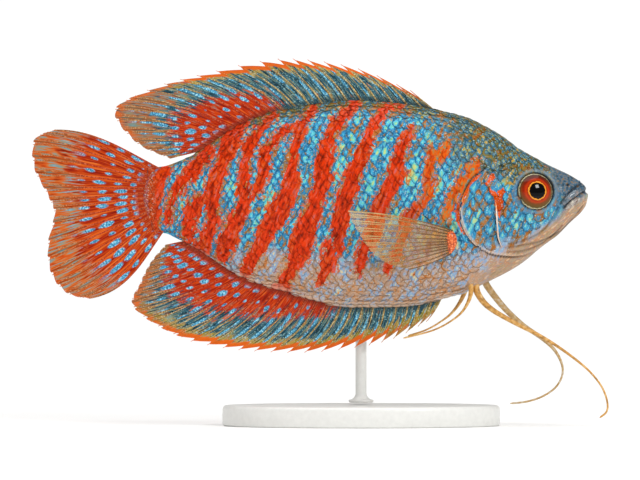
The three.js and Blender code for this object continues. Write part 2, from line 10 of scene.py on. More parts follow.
import bpy
import numpy as np
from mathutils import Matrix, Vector


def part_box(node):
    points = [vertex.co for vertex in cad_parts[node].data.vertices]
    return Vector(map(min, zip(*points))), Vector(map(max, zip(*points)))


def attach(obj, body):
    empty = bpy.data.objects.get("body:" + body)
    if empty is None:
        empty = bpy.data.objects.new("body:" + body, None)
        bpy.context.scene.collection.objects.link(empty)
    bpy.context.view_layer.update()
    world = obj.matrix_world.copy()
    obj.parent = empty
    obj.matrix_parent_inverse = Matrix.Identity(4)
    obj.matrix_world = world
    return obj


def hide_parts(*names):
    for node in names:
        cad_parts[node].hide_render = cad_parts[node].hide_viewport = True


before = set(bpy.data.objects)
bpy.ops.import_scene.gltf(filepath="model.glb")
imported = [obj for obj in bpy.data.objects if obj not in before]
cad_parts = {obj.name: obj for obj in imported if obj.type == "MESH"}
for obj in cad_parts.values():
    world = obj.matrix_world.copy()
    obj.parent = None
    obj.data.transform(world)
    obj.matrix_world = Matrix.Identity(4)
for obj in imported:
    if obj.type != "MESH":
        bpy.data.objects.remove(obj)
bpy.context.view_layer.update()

bl_info = {
    "name": "Dwarf gourami",
    "version": (1, 0, 0),
    "blender": (4, 5, 0),
    "location": "3D View > Sidebar > Gourami",
    "description": "Builds a life-size male dwarf gourami with scales, rayed fins and feelers",
    "category": "Object",
}

MM = 0.001

# The body from snout to tail root: height of back and belly, and half of the width
BODY_X = [-25.8, -22.7, -18.7, -11.5, -5.7, 5.0, 11.6, 20.3, 26.0, 28.9, 31.8, 34.7, 36.4, 37.6, 38.4, 38.7]
BODY_BACK = [4.7, 5.0, 6.4, 10.9, 12.9, 14.35, 13.9, 12.2, 9.5, 7.4, 5.8, 4.3, 3.4, 2.6, 1.8, 0.9]
BODY_BELLY = [
    -4.7, -5.0, -6.6, -11.0, -13.0, -15.5, -15.4, -13.6, -11.1, -9.45, -7.1, -4.65, -2.95, -1.75, -0.75,
    0.5,
]
BODY_HALF = [0.05, 0.9, 2.0, 3.3, 4.1, 5.0, 5.4, 5.5, 5.15, 4.75, 4.1, 3.15, 2.4, 1.75, 1.05, 0.25]
WIDEST = 0.54
LEAN_HEAD = 0.92
LEAN_TAIL = 1.2

# The trunk's top in the frame says how high the fish is lifted over the floor
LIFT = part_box("trunk")[1][2] / MM - max(BODY_BACK)

# Lines on the head in side view, as x and z
GILL_SLIT = [
    (24.2, 4.7), (22.0, 2.9), (20.7, 0.5), (20.2, -1.9), (20.7, -4.0), (21.8, -5.8), (23.6, -7.3),
    (26.0, -8.0), (29.0, -8.0), (31.8, -7.0),
]
# The gill cover lies past the start of that line, as a share of its length, and forward of this x
SLIT_START = 0.001
GILL_REAR = 20
GILL_TOP = [(28.3, 5.3), (26.7, 5.0), (25.3, 4.4), (23.9, 3.9)]
CHEEK_LINE = [
    (24.2, 2.2), (25.05, 0.6), (25.3, -0.85), (25.4, -2.4), (25.5, -4.0), (25.7, -5.6), (26.2, -6.9),
]
MOUTH_LINE = [(39.2, 1.3), (38.2, 1.2), (36.7, 0.5), (35.5, -0.7), (35.1, -1.2)]
LIP_BACK = [(37.7, 2.3), (36.4, 1.5), (35.1, 0.1), (34.6, -0.6)]
# The edge of the tan chin: a place on it as x and z, and its slope
CHIN_EDGE = (24.0, -9.1, 0.68)
CHIN_FOLDS = [
    [(37.9, -0.8), (36.6, -2.5), (34.4, -4.6), (31.6, -6.0), (28.6, -6.6), (26.6, -6.9)],
    [(34.3, -0.9), (33.6, -2.6), (31.8, -4.6), (29.2, -5.9), (27.2, -6.3)],
    [(34.9, -3.7), (32.7, -5.8), (29.8, -7.2), (27.0, -7.5)],
]
EYE = (31.0, 1.22)
EYE_RADIUS = 2.62
EYE_BULGE = 1.25
EYE_DEPTH = 0.5
ORBIT_RADIUS = 2.8
ORBIT_RIM = 0.24
ORBIT_BOWL = 1.5
NOSTRILS = [(35.7, 2.15), (34.6, 2.7)]
NOSTRIL_SIZES = (0.17, 0.07)
TAIL_ARC = [
    (-24.0, 6.5), (-24.9, 4.0), (-25.5, 1.2), (-25.5, -0.4), (-25.0, -2.4), (-23.9, -4.6), (-22.2, -6.5),
]

# The red bars of the flank: points down the middle of each as x, z and half of the width
BARS = [
    [(-21.8, 4.6, 0.5), (-23.0, 2.9, 0.9), (-23.7, 0.7, 0.75), (-23.7, -1.4, 0.65), (-23.7, -3.6, 0.9)],
    [(-15.8, 7.2, 0.6), (-17.2, 5.3, 0.85), (-19.7, 2.2, 0.75), (-21.0, 0.7, 0.7), (-21.8, -3.2, 0.4)],
    [(-17.4, 0.4, 0.6), (-18.1, -1.4, 0.85), (-18.7, -3.2, 0.85), (-19.0, -5.0, 0.9)],
    [(-11.0, 11.2, 0.7), (-12.6, 9.1, 1.15), (-13.8, 5.3, 0.9), (-15.1, 1.4, 1.05), (-15.3, -2.9, 0.85),
     (-16.8, -6.8, 0.9)],
    [(-6.6, 12.2, 0.4), (-9.6, 8.6, 0.75), (-10.6, 4.3, 0.7), (-10.7, 0.0, 0.75), (-12.5, -4.0, 1.15),
     (-13.9, -7.9, 1.0)],
    [(-4.3, 10.5, 0.5), (-7.4, 7.2, 0.85), (-8.0, 3.3, 0.7), (-9.0, 0.6, 0.4)],
    [(-0.8, 13.3, 0.45), (-2.8, 10.1, 0.6), (-3.7, 6.5, 0.8), (-4.1, 2.2, 1.05), (-5.4, -1.4, 1.4),
     (-7.7, -5.0, 1.05), (-9.6, -8.6, 1.0), (-10.4, -10.1, 0.7)],
    [(5.3, 14.0, 0.5), (2.4, 10.5, 0.9), (1.4, 8.2, 0.9), (0.8, 5.8, 1.3), (0.2, 1.4, 1.15),
     (-1.4, -2.9, 1.45), (-2.7, -7.2, 1.4), (-4.5, -10.8, 0.9), (-5.7, -13.0, 1.0)],
    [(1.4, -6.2, 0.6), (1.5, -8.2, 0.85), (1.2, -10.1, 0.75), (0.2, -11.5, 0.6)],
    [(9.2, 13.0, 0.6), (7.6, 9.7, 0.85), (6.6, 7.6, 0.7), (5.1, 3.6, 1.25), (3.5, -0.7, 1.3),
     (2.8, -5.0, 0.9), (2.9, -6.9, 0.7)],
    [(11.5, 13.3, 0.35), (10.0, 12.9, 0.55), (9.2, 11.8, 0.3)],
    [(13.5, 10.1, 0.4), (11.9, 7.2, 0.85), (10.7, 2.9, 1.15), (9.0, -0.7, 1.25), (7.8, -4.0, 1.0),
     (6.5, -7.5, 0.9), (5.8, -10.2, 0.45)],
    [(15.9, 7.2, 0.4), (16.1, 5.3, 0.65), (15.5, 1.4, 0.7), (14.8, -0.6, 0.6), (13.2, -2.2, 0.7),
     (11.8, -6.0, 0.5), (9.9, -10.2, 0.45)],
    [(18.5, 8.7, 0.35), (17.9, 7.2, 0.55), (17.4, 5.6, 0.4)],
    [(22.6, 5.3, 0.5), (21.2, 3.4, 0.6), (20.0, 1.6, 0.75), (19.0, 0.2, 0.8), (18.3, -1.6, 0.55),
     (17.6, -3.0, 0.4)],
]
# Forward of this place the bars turn from red to broken orange
BARS_PALE_FROM = 13.0
# How far from any bar a place counts as where none is drawn
NO_BAR = -9.0
# The orange fork on the cheek
CHEEK_BARS = [
    [(24.9, 3.3, 0.3), (24.2, 2.3, 0.2), (24.8, 1.3, 0.2), (25.5, 0.3, 0.35), (25.7, -1.2, 0.32),
     (25.9, -2.7, 0.1)],
    [(26.8, 2.2, 0.2), (26.2, 1.2, 0.3), (25.6, 0.3, 0.35)],
]
# The lips, from the corner of the mouth to the middle of the snout: x, z and half thickness
UPPER_LIP = [
    (34.9, -0.7, 0.22), (35.2, -0.3, 0.38), (35.9, 0.4, 0.46), (36.7, 1.0, 0.5), (37.5, 1.45, 0.48),
    (37.95, 1.6, 0.44),
]
LOWER_LIP = [
    (35.3, -1.35, 0.14), (35.8, -0.95, 0.3), (36.5, -0.35, 0.42), (37.3, 0.15, 0.46), (37.9, 0.35, 0.44),
    (38.1, 0.4, 0.42),
]

# Rays of each fin, front to rear or top to bottom: root x and z, tip x and z, and bow.
# A root height of None sits on the back or the belly.
DORSAL_KEYS = [
    (15.6, None, 13.3, 15.6, 0.0), (10.5, None, 6.1, 18.7, 0.3), (4.2, None, -0.9, 20.0, 0.4),
    (-1.0, None, -7.3, 20.0, 0.4), (-6.5, None, -16.1, 18.2, 0.6), (-10.7, None, -23.0, 16.4, 0.7),
    (-14.1, None, -29.5, 13.1, 0.7), (-16.5, None, -26.5, 8.3, 0.3), (-18.6, None, -21.6, 6.0, 0.0),
]
ANAL_KEYS = [
    (17.2, None, 15.6, -17.3, -0.1), (12.8, None, 11.0, -19.7, -0.3), (8.0, None, 5.7, -21.0, -0.4),
    (3.4, None, -1.2, -21.8, -0.6), (-1.4, None, -8.2, -21.7, -0.7), (-5.8, None, -14.8, -21.0, -0.7),
    (-9.8, None, -21.4, -19.2, -0.7), (-13.2, None, -26.9, -15.4, -0.5), (-16.6, None, -25.9, -12.0, -0.3),
    (-18.7, None, -24.3, -8.9, -0.1), (-20.3, None, -22.2, -6.5, 0.0),
]
TAIL_KEYS = [
    (-23.7, 4.85, -38.3, 10.1, 1.15), (-24.9, 3.8, -41.2, 8.7, 0.8), (-25.6, 2.6, -41.2, 4.6, 0.2),
    (-26.0, 1.2, -39.2, 0.6, 0.0), (-26.0, -0.2, -38.3, -2.0, 0.0), (-25.7, -1.6, -39.2, -6.6, 0.0),
    (-25.0, -2.9, -38.6, -10.8, -0.5), (-24.0, -3.95, -36.3, -13.5, -1.1),
    (-22.8, -4.85, -33.2, -14.2, -1.7),
]
PECTORAL_KEYS = [
    (18.7, -4.3, 4.0, -1.6, 0.5), (18.4, -5.0, 4.7, -3.4, 0.3), (18.2, -5.8, 6.2, -5.8, 0.0),
    (18.2, -6.5, 7.6, -7.7, 0.0), (18.2, -7.2, 9.8, -9.2, -0.1), (18.5, -7.9, 12.8, -10.0, -0.2),
]
PECTORAL_FLARE = math.radians(11)
KNOB = (18.9, -6.1)
KNOB_SIZE = (0.8, 1.95, 0.65)

# Feelers: x, distance from the middle plane, z
FEELER_RIGHT = [
    (22.6, 0.9, -11.6), (22.6, 1.1, -13.0), (23.6, 1.4, -14.7), (25.3, 1.8, -16.1), (28.3, 2.2, -17.8),
    (31.8, 2.7, -19.6), (34.7, 3.0, -21.4), (37.5, 3.3, -23.5), (39.2, 3.5, -25.1), (40.6, 3.7, -27.0),
    (41.3, 3.8, -29.0), (41.2, 3.8, -30.4), (40.2, 3.7, -31.3),
]
FEELER_LEFT = [
    (23.6, 1.0, -11.2), (24.4, 1.2, -12.7), (26.7, 1.5, -15.6), (29.3, 1.9, -18.0), (31.9, 2.2, -19.8),
    (33.9, 2.5, -21.6), (35.0, 2.7, -23.6), (35.1, 2.8, -25.3), (34.2, 2.8, -27.0), (32.4, 2.7, -28.3),
    (30.1, 2.6, -29.1), (27.5, 2.4, -29.4),
]
SHORT_RIGHT = [
    (21.6, 1.4, -11.4), (21.8, 1.7, -12.9), (21.5, 1.8, -14.4), (20.5, 1.9, -16.1), (18.8, 2.0, -17.5),
    (16.2, 2.0, -18.8), (12.0, 2.0, -19.9),
]
SHORT_LEFT = [
    (21.4, 1.4, -11.4), (21.1, 1.6, -12.9), (20.3, 1.7, -14.7), (19.0, 1.8, -16.4), (17.3, 1.9, -17.7),
    (15.3, 2.0, -18.8), (12.8, 2.0, -19.6),
]

FLESH = ["head", "lower_jaw", "gill_cover_left", "gill_cover_right", "trunk", "tail_stalk"]
SIDES = [("left", 1), ("right", -1)]

# How finely the pieces are built, as counts, and how far the skin's rings crowd towards the snout
HEAD_RINGS = 200
TRUNK_RINGS = 110
SKIN_AROUND = 240
COLUMNS_PER_GAP = 8
FIN_ROWS = 44
RAY_POINTS = 22
FEELER_POINTS = 150
RIM_POINTS = 90
LIP_POINTS = 40
HEAD_CROWDING = 1.15

# Places along the body, as x
SHOULDER = 19.0
HEAD_END = 17.5
TAIL_BEND = -20.5
TAIL_ROOT = -25.5

# How deep the skin lies under its scales, and what it shows where a scale has its own pattern and painted
# shade
SCALE_DEPTH = 0.12
SKIN_EXPOSED = 0.62
SKIN_GLOW = 0.4
SKIN_TONES = (0.4, 0.6)

# Fins: how far off the body they start, how far spines stand out, where rays fork and how wide
FIN_CLEAR = 0.35
SPINE_TIP = 0.3
FORK_AT = (0.45, 0.74)
FORK_SPREAD = (0.17, 0.1)

# How far the head's rims stand up, and the pupil lies forward as a share of the eye's radius
RIM_RISE = 0.3
PUPIL_SHIFT = 0.07

# Sizes of the patterns in millimetres, and the slopes that they are drawn out along
GRAIN = 0.2
MOTTLE = 0.42
STREAK = 0.45
OVAL_PITCH = 2.3
RAY_JOINT = 0.6
BEAD = 0.8
LIP_MOTTLE = 0.5
FILM_CLOUD = 1.2
ROOT_SPECK = 0.3
FEELER_GRAIN = 0.6
IRIS_GRAIN = 0.3
STAND_PEEL = 0.8
CLEAR_RAY_LENGTH = 14
BAR_SLOPE = math.radians(20)
JAW_SLOPE = math.radians(34)

# The stand, in millimetres
BASE_SOFT = 0.6
BASE_FOOT_SOFT = 0.25
FOOT_RADIUS = 1.8
FOOT_HEIGHT = 0.4
ROD_SOFT = 0.15
ROD_RADIUS = 0.8
CUP_RADIUS = 1.7
CUP_HEIGHT = 2.2

# The photograph's view: its middle as x and z, and its width, in millimetres on the middle plane
VIEW_AT = (0.07, -5.77)
FRAME_WIDTH = 92.25
# The camera's lens and sensor width, what the lamps aim at, and the light from all round
LENS = 350.0
SENSOR = 36.0
MIDDLE = (0.0, 0.0, -4.0)
AMBIENT = 0.32
# The floor in metres, as radius and height: flat, and rising gently far out
FLOOR = [(0.5, 0.0), (1.8, 0.0), (2.2, 0.02), (2.8, 0.1), (3.6, 0.3), (4.6, 0.7)]
# Each lamp's place in metres, its size or angle, and its power
LIGHTS = [
    ("key", "AREA", (0.42, -0.6, 0.42), 0.14, 2.4),
    ("ceiling", "SUN", (-0.05, -0.1, 1.0), math.radians(60), 2.3),
]


def colour(hex_value, alpha=1.0):
    """An sRGB hex colour as the linear values that a socket takes."""
    parts = [int(hex_value[i : i + 2], 16) / 255 for i in (1, 3, 5)]
    linear = [p / 12.92 if p <= 0.04045 else ((p + 0.055) / 1.055) ** 2.4 for p in parts]
    return (*linear, alpha)


def colour_choice(name, description, hex_value):
    return bpy.props.FloatVectorProperty(
        name=name, description=description, default=colour(hex_value), size=4, min=0, max=1, subtype="COLOR"
    )


def size_choice(name, description, millimetres):
    return bpy.props.FloatProperty(
        name=name, description=description, default=millimetres * MM, min=0,
        unit="LENGTH", subtype="DISTANCE",
    )


class GouramiSizes(bpy.types.PropertyGroup):
    """Sizes that change how fine the fish looks, but not its outline."""

    scale_pitch: size_choice("Scale pitch", "Spacing of scales along a row", 1.1)
    row_pitch: size_choice("Row pitch", "Spacing of the staggered rows of scales", 0.92)
    scale_length: size_choice("Scale length", "Length of a flank scale, half of it covered", 1.95)
    scale_width: size_choice("Scale width", "Width of a flank scale", 1.82)
    scale_lift: bpy.props.FloatProperty(
        name="Scale lift", description="How far the free edges stand up",
        default=math.radians(1.8), subtype="ANGLE",
    )
    ray_thickness: size_choice("Ray thickness", "Thickness of a fin ray at its root", 0.3)
    membrane: size_choice("Membrane", "Thickness of the fin membranes at their roots", 0.12)
    feeler_thickness: size_choice("Feeler thickness", "Thickness of a feeler at its root", 1.05)


class GouramiColours(bpy.types.PropertyGroup):
    """Main colours of the male's breeding dress and of the stand."""

    bar: colour_choice("Bars", "Red bars of the flank", "#DE3606")
    blue: colour_choice("Flank blue", "Blue scales between the bars", "#2E86B8")
    cyan: colour_choice("Flank cyan", "Brightest scales between the bars", "#5CC3D8")
    cheek: colour_choice("Cheek", "Blue of cheek and gill cover", "#3488B6")
    nape: colour_choice("Nape", "Slate of nape and back", "#375C6C")
    belly: colour_choice("Belly", "Sand of the belly", "#AA8870")
    throat: colour_choice("Throat", "Tan of chin and throat", "#C4A276")
    fin_red: colour_choice("Fin red", "Red of the rear fins", "#A62204")
    fin_teal: colour_choice("Fin teal", "Front membranes of dorsal and anal fin", "#264A56")
    fin_spot: colour_choice("Fin spots", "Blue spots between the rays", "#4692BC")
    fin_edge: colour_choice("Fin edge", "Orange margin of the fins", "#D6601A")
    feeler: colour_choice("Feelers", "Gold of the long feelers", "#CC9444")
    iris: colour_choice("Iris", "Red of the iris", "#BC3408")
    stand: colour_choice("Stand", "Moulded base of the stand", "#E4E4E0")


def place(points):
    """Points in millimetres about mid flank, as metres in the frame."""
    lifted = np.array(points, float)
    lifted[:, 2] += LIFT
    return lifted * MM


def smooth(values):
    """A curve of x through the body's stations that never swings past them."""
    xs, ys = np.array(BODY_X), np.array(values)
    steps = np.diff(ys) / np.diff(xs)
    product = steps[:-1] * steps[1:]
    total = np.where(product > 0, steps[:-1] + steps[1:], 1.0)
    inner = np.where(product > 0, 2 * product / total, 0.0)
    slopes = np.concatenate([[steps[0]], inner, [steps[-1]]])

    def read(x):
        x = np.asarray(x, float)
        i = np.clip(np.searchsorted(xs, x) - 1, 0, len(xs) - 2)
        width = xs[i + 1] - xs[i]
        t = np.clip((x - xs[i]) / width, 0, 1)
        rise = (1 + 2 * t) * (1 - t) ** 2 * ys[i] + t**2 * (3 - 2 * t) * ys[i + 1]
        bend = t * (1 - t) ** 2 * slopes[i] + t**2 * (t - 1) * slopes[i + 1]
        return rise + bend * width

    return read


back = smooth(BODY_BACK)
belly = smooth(BODY_BELLY)
half = smooth(BODY_HALF)


def smoothstep(low, high, value):
    t = np.clip((np.asarray(value, float) - low) / (high - low), 0, 1)
    return t * t * (3 - 2 * t)


def hill(distance, width):
    """A soft bump of height 1 at distance 0."""
    return np.exp(-((distance / width) ** 2))


def lean(x):
    return LEAN_TAIL + (LEAN_HEAD - LEAN_TAIL) * smoothstep(-20, 34, x)


def widest_height(x):
    return belly(x) + (back(x) - belly(x)) * WIDEST


def unit(vectors):
    """Vectors of length 1 with the same directions."""
    return vectors / np.maximum(np.linalg.norm(vectors, axis=-1, keepdims=True), 1e-12)


def section(x, angle):
    """Points of the bare body at x, with the angle from the back down the left side."""
    middle = widest_height(x)
    up = np.cos(angle)
    reach = np.where(up > 0, back(x) - middle, middle - belly(x))
    side = np.sin(angle)
    width = half(x) * np.abs(side) ** lean(x) * np.sign(side)
    return np.stack([x + 0 * angle, width, middle + reach * up], -1)


def flank(x, z):
    """Half of the body's width at a place in side view."""
    middle = widest_height(x)
    reach = np.where(z > middle, back(x) - middle, middle - belly(x))
    up = np.clip(np.abs(z - middle) / reach, 0, 1)
    return half(x) * np.sqrt(1 - up * up) ** lean(x)


def spline(points, where):
    """A smooth curve through points, read at places from 0 to 1."""
    p = np.asarray(points, float)
    place_on = np.clip(np.asarray(where, float), 0, 1) * (len(p) - 1)
    i = np.minimum(place_on.astype(int), len(p) - 2)
    t = (place_on - i)[..., None]
    p0, p1, p2, p3 = p[np.maximum(i - 1, 0)], p[i], p[i + 1], p[np.minimum(i + 2, len(p) - 1)]
    straight = 2 * p1 + (p2 - p0) * t
    bent = (2 * p0 - 5 * p1 + 4 * p2 - p3) * t**2 + (3 * p1 - p0 - 3 * p2 + p3) * t**3
    return 0.5 * (straight + bent)


def nearest(x, z, start, reach):
    """The nearest place of a straight stretch: how far along it, 0 to 1, and the offset from it."""
    (ax, az), (dx, dz) = start, reach
    t = np.clip(((x - ax) * dx + (z - az) * dz) / (dx * dx + dz * dz), 0, 1)
    return t, x - ax - t * dx, z - az - t * dz


def from_line(x, z, line, steps=40):
    """Distance from a line in side view, which side of it, and how far along it, 0 to 1.

    The side is 1 to the left of the line's direction and -1 to the right.
    """
    curve = spline(line, np.linspace(0, 1, steps + 1))
    best = np.full(np.shape(x), 1e9)
    side = np.zeros(np.shape(x))
    along = np.zeros(np.shape(x))
    for k in range(steps):
        dx, dz = curve[k + 1][:2] - curve[k][:2]
        t, px, pz = nearest(x, z, curve[k][:2], (dx, dz))
        distance = np.hypot(px, pz)
        nearer = distance < best
        best = np.where(nearer, distance, best)
        side = np.where(nearer, np.sign(dx * pz - dz * px), side)
        along = np.where(nearer, (k + t) / steps, along)
    return best, side, along


def faded(along, start=0.12, end=0.12):
    """1 in the middle of a line, falling to 0 at its ends."""
    return smoothstep(0, start, along) * smoothstep(0, end, 1 - along)


def skin_relief(x, z):
    """How far the skin stands out from the bare body: orbit, gill cover, mouth, nostrils and folds."""
    eye = np.hypot(x - EYE[0], z - EYE[1])
    out = ORBIT_RIM * hill(eye - ORBIT_RADIUS, 0.3) - 0.04 * hill(eye - 3.3, 0.35)
    out -= ORBIT_BOWL * smoothstep(ORBIT_RADIUS - 0.2, ORBIT_RADIUS - 0.5, eye)
    gill, side, along = from_line(x, z, GILL_SLIT)
    inside = (side > 0) & (along > SLIT_START)
    plate = 0.3 * np.exp(-gill / 2.4) + 0.08 * hill(gill - 0.12, 0.12)
    behind = 0.08 * hill(gill - 0.6, 0.25) - 0.3 * hill(gill, 0.22)
    out += np.where(inside, plate, behind) * faded(along, 0.05, 0.25)
    top, _, along = from_line(x, z, GILL_TOP)
    out -= 0.2 * hill(top, 0.16) * faded(along, 0.4, 0.02)
    cheek, side, along = from_line(x, z, CHEEK_LINE)
    step = 0.14 * hill(cheek - 0.25, 0.22) * (side > 0) - 0.16 * hill(cheek - 0.1, 0.14) * (side < 0)
    out += step * faded(along)
    for spot, size in zip(NOSTRILS, NOSTRIL_SIZES):
        distance = np.hypot(x - spot[0], z - spot[1])
        out += 0.1 * hill(distance - 1.7 * size, 0.12) - 0.4 * hill(distance, size)
    for fold in CHIN_FOLDS:
        distance, _, along = from_line(x, z, fold)
        out += (0.09 * hill(distance - 0.3, 0.2) - 0.13 * hill(distance, 0.13)) * faded(along)
    return out + mouth_relief(x, z)


def mouth_relief(x, z):
    """A groove for the mouth and one behind the upper lip; the lips themselves lie in them."""
    mouth, _, along = from_line(x, z, MOUTH_LINE)
    groove, _, back_along = from_line(x, z, LIP_BACK)
    out = -0.3 * hill(mouth, 0.3) * smoothstep(0, 0.05, 1 - along)
    out -= 0.25 * hill(groove, 0.16) * faded(back_along, 0.1, 0.1)
    return out + 0.15 * hill(groove - 0.35, 0.2) * (x < 37.5)


def skin_point(x, angle):
    """Points of the finished skin, the head's relief and the round tail root on it."""
    x, angle = np.broadcast_arrays(np.asarray(x, float), angle)
    bare = section(x, angle)
    step = 0.01
    along = section(x - step, angle) - bare
    around = section(x, angle + step) - section(x, angle - step)
    normal = unit(np.cross(around, along))
    out = np.full(x.shape, -SCALE_DEPTH) * smoothstep(36.0, 33.0, x)
    head = x > HEAD_END
    out[head] += skin_relief(bare[..., 0][head], bare[..., 2][head])
    points = bare + normal * out[..., None]
    arc = spline(TAIL_ARC, np.linspace(0, 1, 61))[::-1]
    edge = np.interp(points[..., 2], arc[:, 1], arc[:, 0])
    points[..., 0] += smoothstep(TAIL_BEND, TAIL_ROOT, x) * (edge - TAIL_ROOT)
    return points


def skin_share(x):
    """Where a ring lies on the unwrapped skin, from 0 at the snout to 1 at the tail."""
    return 0.02 + 0.96 * (BODY_X[-1] - x) / (BODY_X[-1] - TAIL_ROOT)


def set_attribute(mesh, name, values, kind="FLOAT"):
    """Stores a number or a vector for each point, under a name that a material can read."""
    layer = mesh.attributes.get(name) or mesh.attributes.new(name, kind, "POINT")
    field = "value" if kind == "FLOAT" else "vector"
    layer.data.foreach_set(field, np.asarray(values, np.float32).ravel())


def get_attribute(mesh, name, width):
    """Reads numbers of a mesh back, width to each point."""
    values = np.empty(len(mesh.vertices) * width, np.float32)
    mesh.attributes[name].data.foreach_get("vector" if width > 1 else "value", values)
    return values.reshape(-1, width).astype(float)


def fish_points(piece):
    """A piece's points in millimetres about mid flank."""
    flat = np.empty(len(piece.data.vertices) * 3, np.float32)
    piece.data.vertices.foreach_get("co", flat)
    points = flat.reshape(-1, 3).astype(float) / MM
    points[:, 2] -= LIFT
    return points


def new_object(name, points, edges, faces):
    """A smoothly shaded mesh object in the scene."""
    mesh = bpy.data.meshes.new(name)
    mesh.from_pydata(points, edges, faces)
    mesh.update()
    mesh.polygons.foreach_set("use_smooth", [True] * len(mesh.polygons))
    piece = bpy.data.objects.new(name, mesh)
    bpy.context.scene.collection.objects.link(piece)
    return piece


def new_piece(name, points, faces, attributes=None, edges=(), material=None):
    """A mesh object at the origin from millimetre points, its faces turned outwards."""
    solid = place(points)
    faces = [list(map(int, face)) for face in faces]
    volume = 0.0
    for corners in (3, 4):
        some = np.array([face for face in faces if len(face) == corners])
        if len(some):
            first = solid[some[:, 0]]
            for k in range(1, corners - 1):
                volume += np.einsum("ij,ij->", first, np.cross(solid[some[:, k]], solid[some[:, k + 1]]))
    if volume < 0:
        faces = [face[::-1] for face in faces]
    piece = new_object(name, solid.tolist(), list(edges), faces)
    for key, values in (attributes or {}).items():
        set_attribute(piece.data, key, values, "FLOAT" if np.ndim(values) == 1 else "FLOAT_VECTOR")
    if material:
        piece.data.materials.append(bpy.data.materials[material])
    return piece


def set_map(piece, name, places):
    """Gives a piece a UV map from one place for each of its points."""
    layer = piece.data.uv_layers.new(name=name)
    corners = np.empty(len(piece.data.loops), np.int32)
    piece.data.loops.foreach_get("vertex_index", corners)
    layer.data.foreach_set("uv", np.asarray(places, np.float32)[corners].ravel())


def grid_faces(rows, columns, wrap=False):
    """Quads of a grid whose points run row by row."""
    r, c = np.meshgrid(np.arange(rows - 1), np.arange(columns if wrap else columns - 1), indexing="ij")
    a = r * columns + c
    b = r * columns + (c + 1) % columns
    return np.stack([a, b, b + columns, a + columns], -1).reshape(-1, 4).tolist()


def closed_faces(rows, columns):
    """Faces of rings of points, and of a fan at each end to the two points that come after them."""
    faces = grid_faces(rows, columns, wrap=True)
    first, last = rows * columns, (rows - 1) * columns
    for i in range(columns):
        j = (i + 1) % columns
        faces += [[first, j, i], [first + 1, last + i, last + j]]
    return faces


def chain(count, first=0):
    """Edges that join points one after another."""
    return [(first + i, first + i + 1) for i in range(count - 1)]


def build_skin():
    """One closed skin from snout to tail root, with grooves for the lips, nostrils, gill covers and folds.
    """
    snout = BODY_X[-1]
    head = snout - (snout - SHOULDER) * (np.arange(HEAD_RINGS + 1) / HEAD_RINGS) ** HEAD_CROWDING
    rings = np.concatenate([head, np.linspace(SHOULDER, TAIL_ROOT, TRUNK_RINGS + 1)[1:]])
    turn = np.arange(SKIN_AROUND) / SKIN_AROUND
    points = skin_point(rings[:, None], 2 * np.pi * turn[None, :]).reshape(-1, 3)
    ends = [points[:SKIN_AROUND].mean(0), points[-SKIN_AROUND:].mean(0)]
    points = np.concatenate([points, ends])
    places = np.stack([np.repeat(skin_share(rings), SKIN_AROUND), np.tile(turn, len(rings))], -1)
    rng = np.random.default_rng(3)
    skin = new_piece("skin", points, closed_faces(len(rings), SKIN_AROUND), {
        "tone": rng.uniform(*SKIN_TONES, len(points)), "exposed": np.full(len(points), SKIN_EXPOSED),
        "glow": np.full(len(points), SKIN_GLOW),
    }, material="wet scaled fish skin")
    paint(skin, fish_points(skin))
    set_map(skin, "OFBake", np.concatenate([places, [[0.0, 0.5], [1.0, 0.5]]]))
    return skin


# Markings, painted alike on the skin and its scales


def bar_field(x, z, bars):
    """Millimetres inside the nearest bar, negative outside."""
    inside = np.full(np.shape(x), NO_BAR)
    for bar in bars:
        curve = spline(bar, np.linspace(0, 1, 6 * (len(bar) - 1) + 1))
        for here, there in zip(curve[:-1], curve[1:]):
            t, px, pz = nearest(x, z, here[:2], there[:2] - here[:2])
            inside = np.maximum(inside, here[2] + (there[2] - here[2]) * t - np.hypot(px, pz))
    return inside


def chin_height(x, z):
    """Millimetres above the edge of the tan chin and throat."""
    return z - CHIN_EDGE[1] - (x - CHIN_EDGE[0]) * CHIN_EDGE[2]


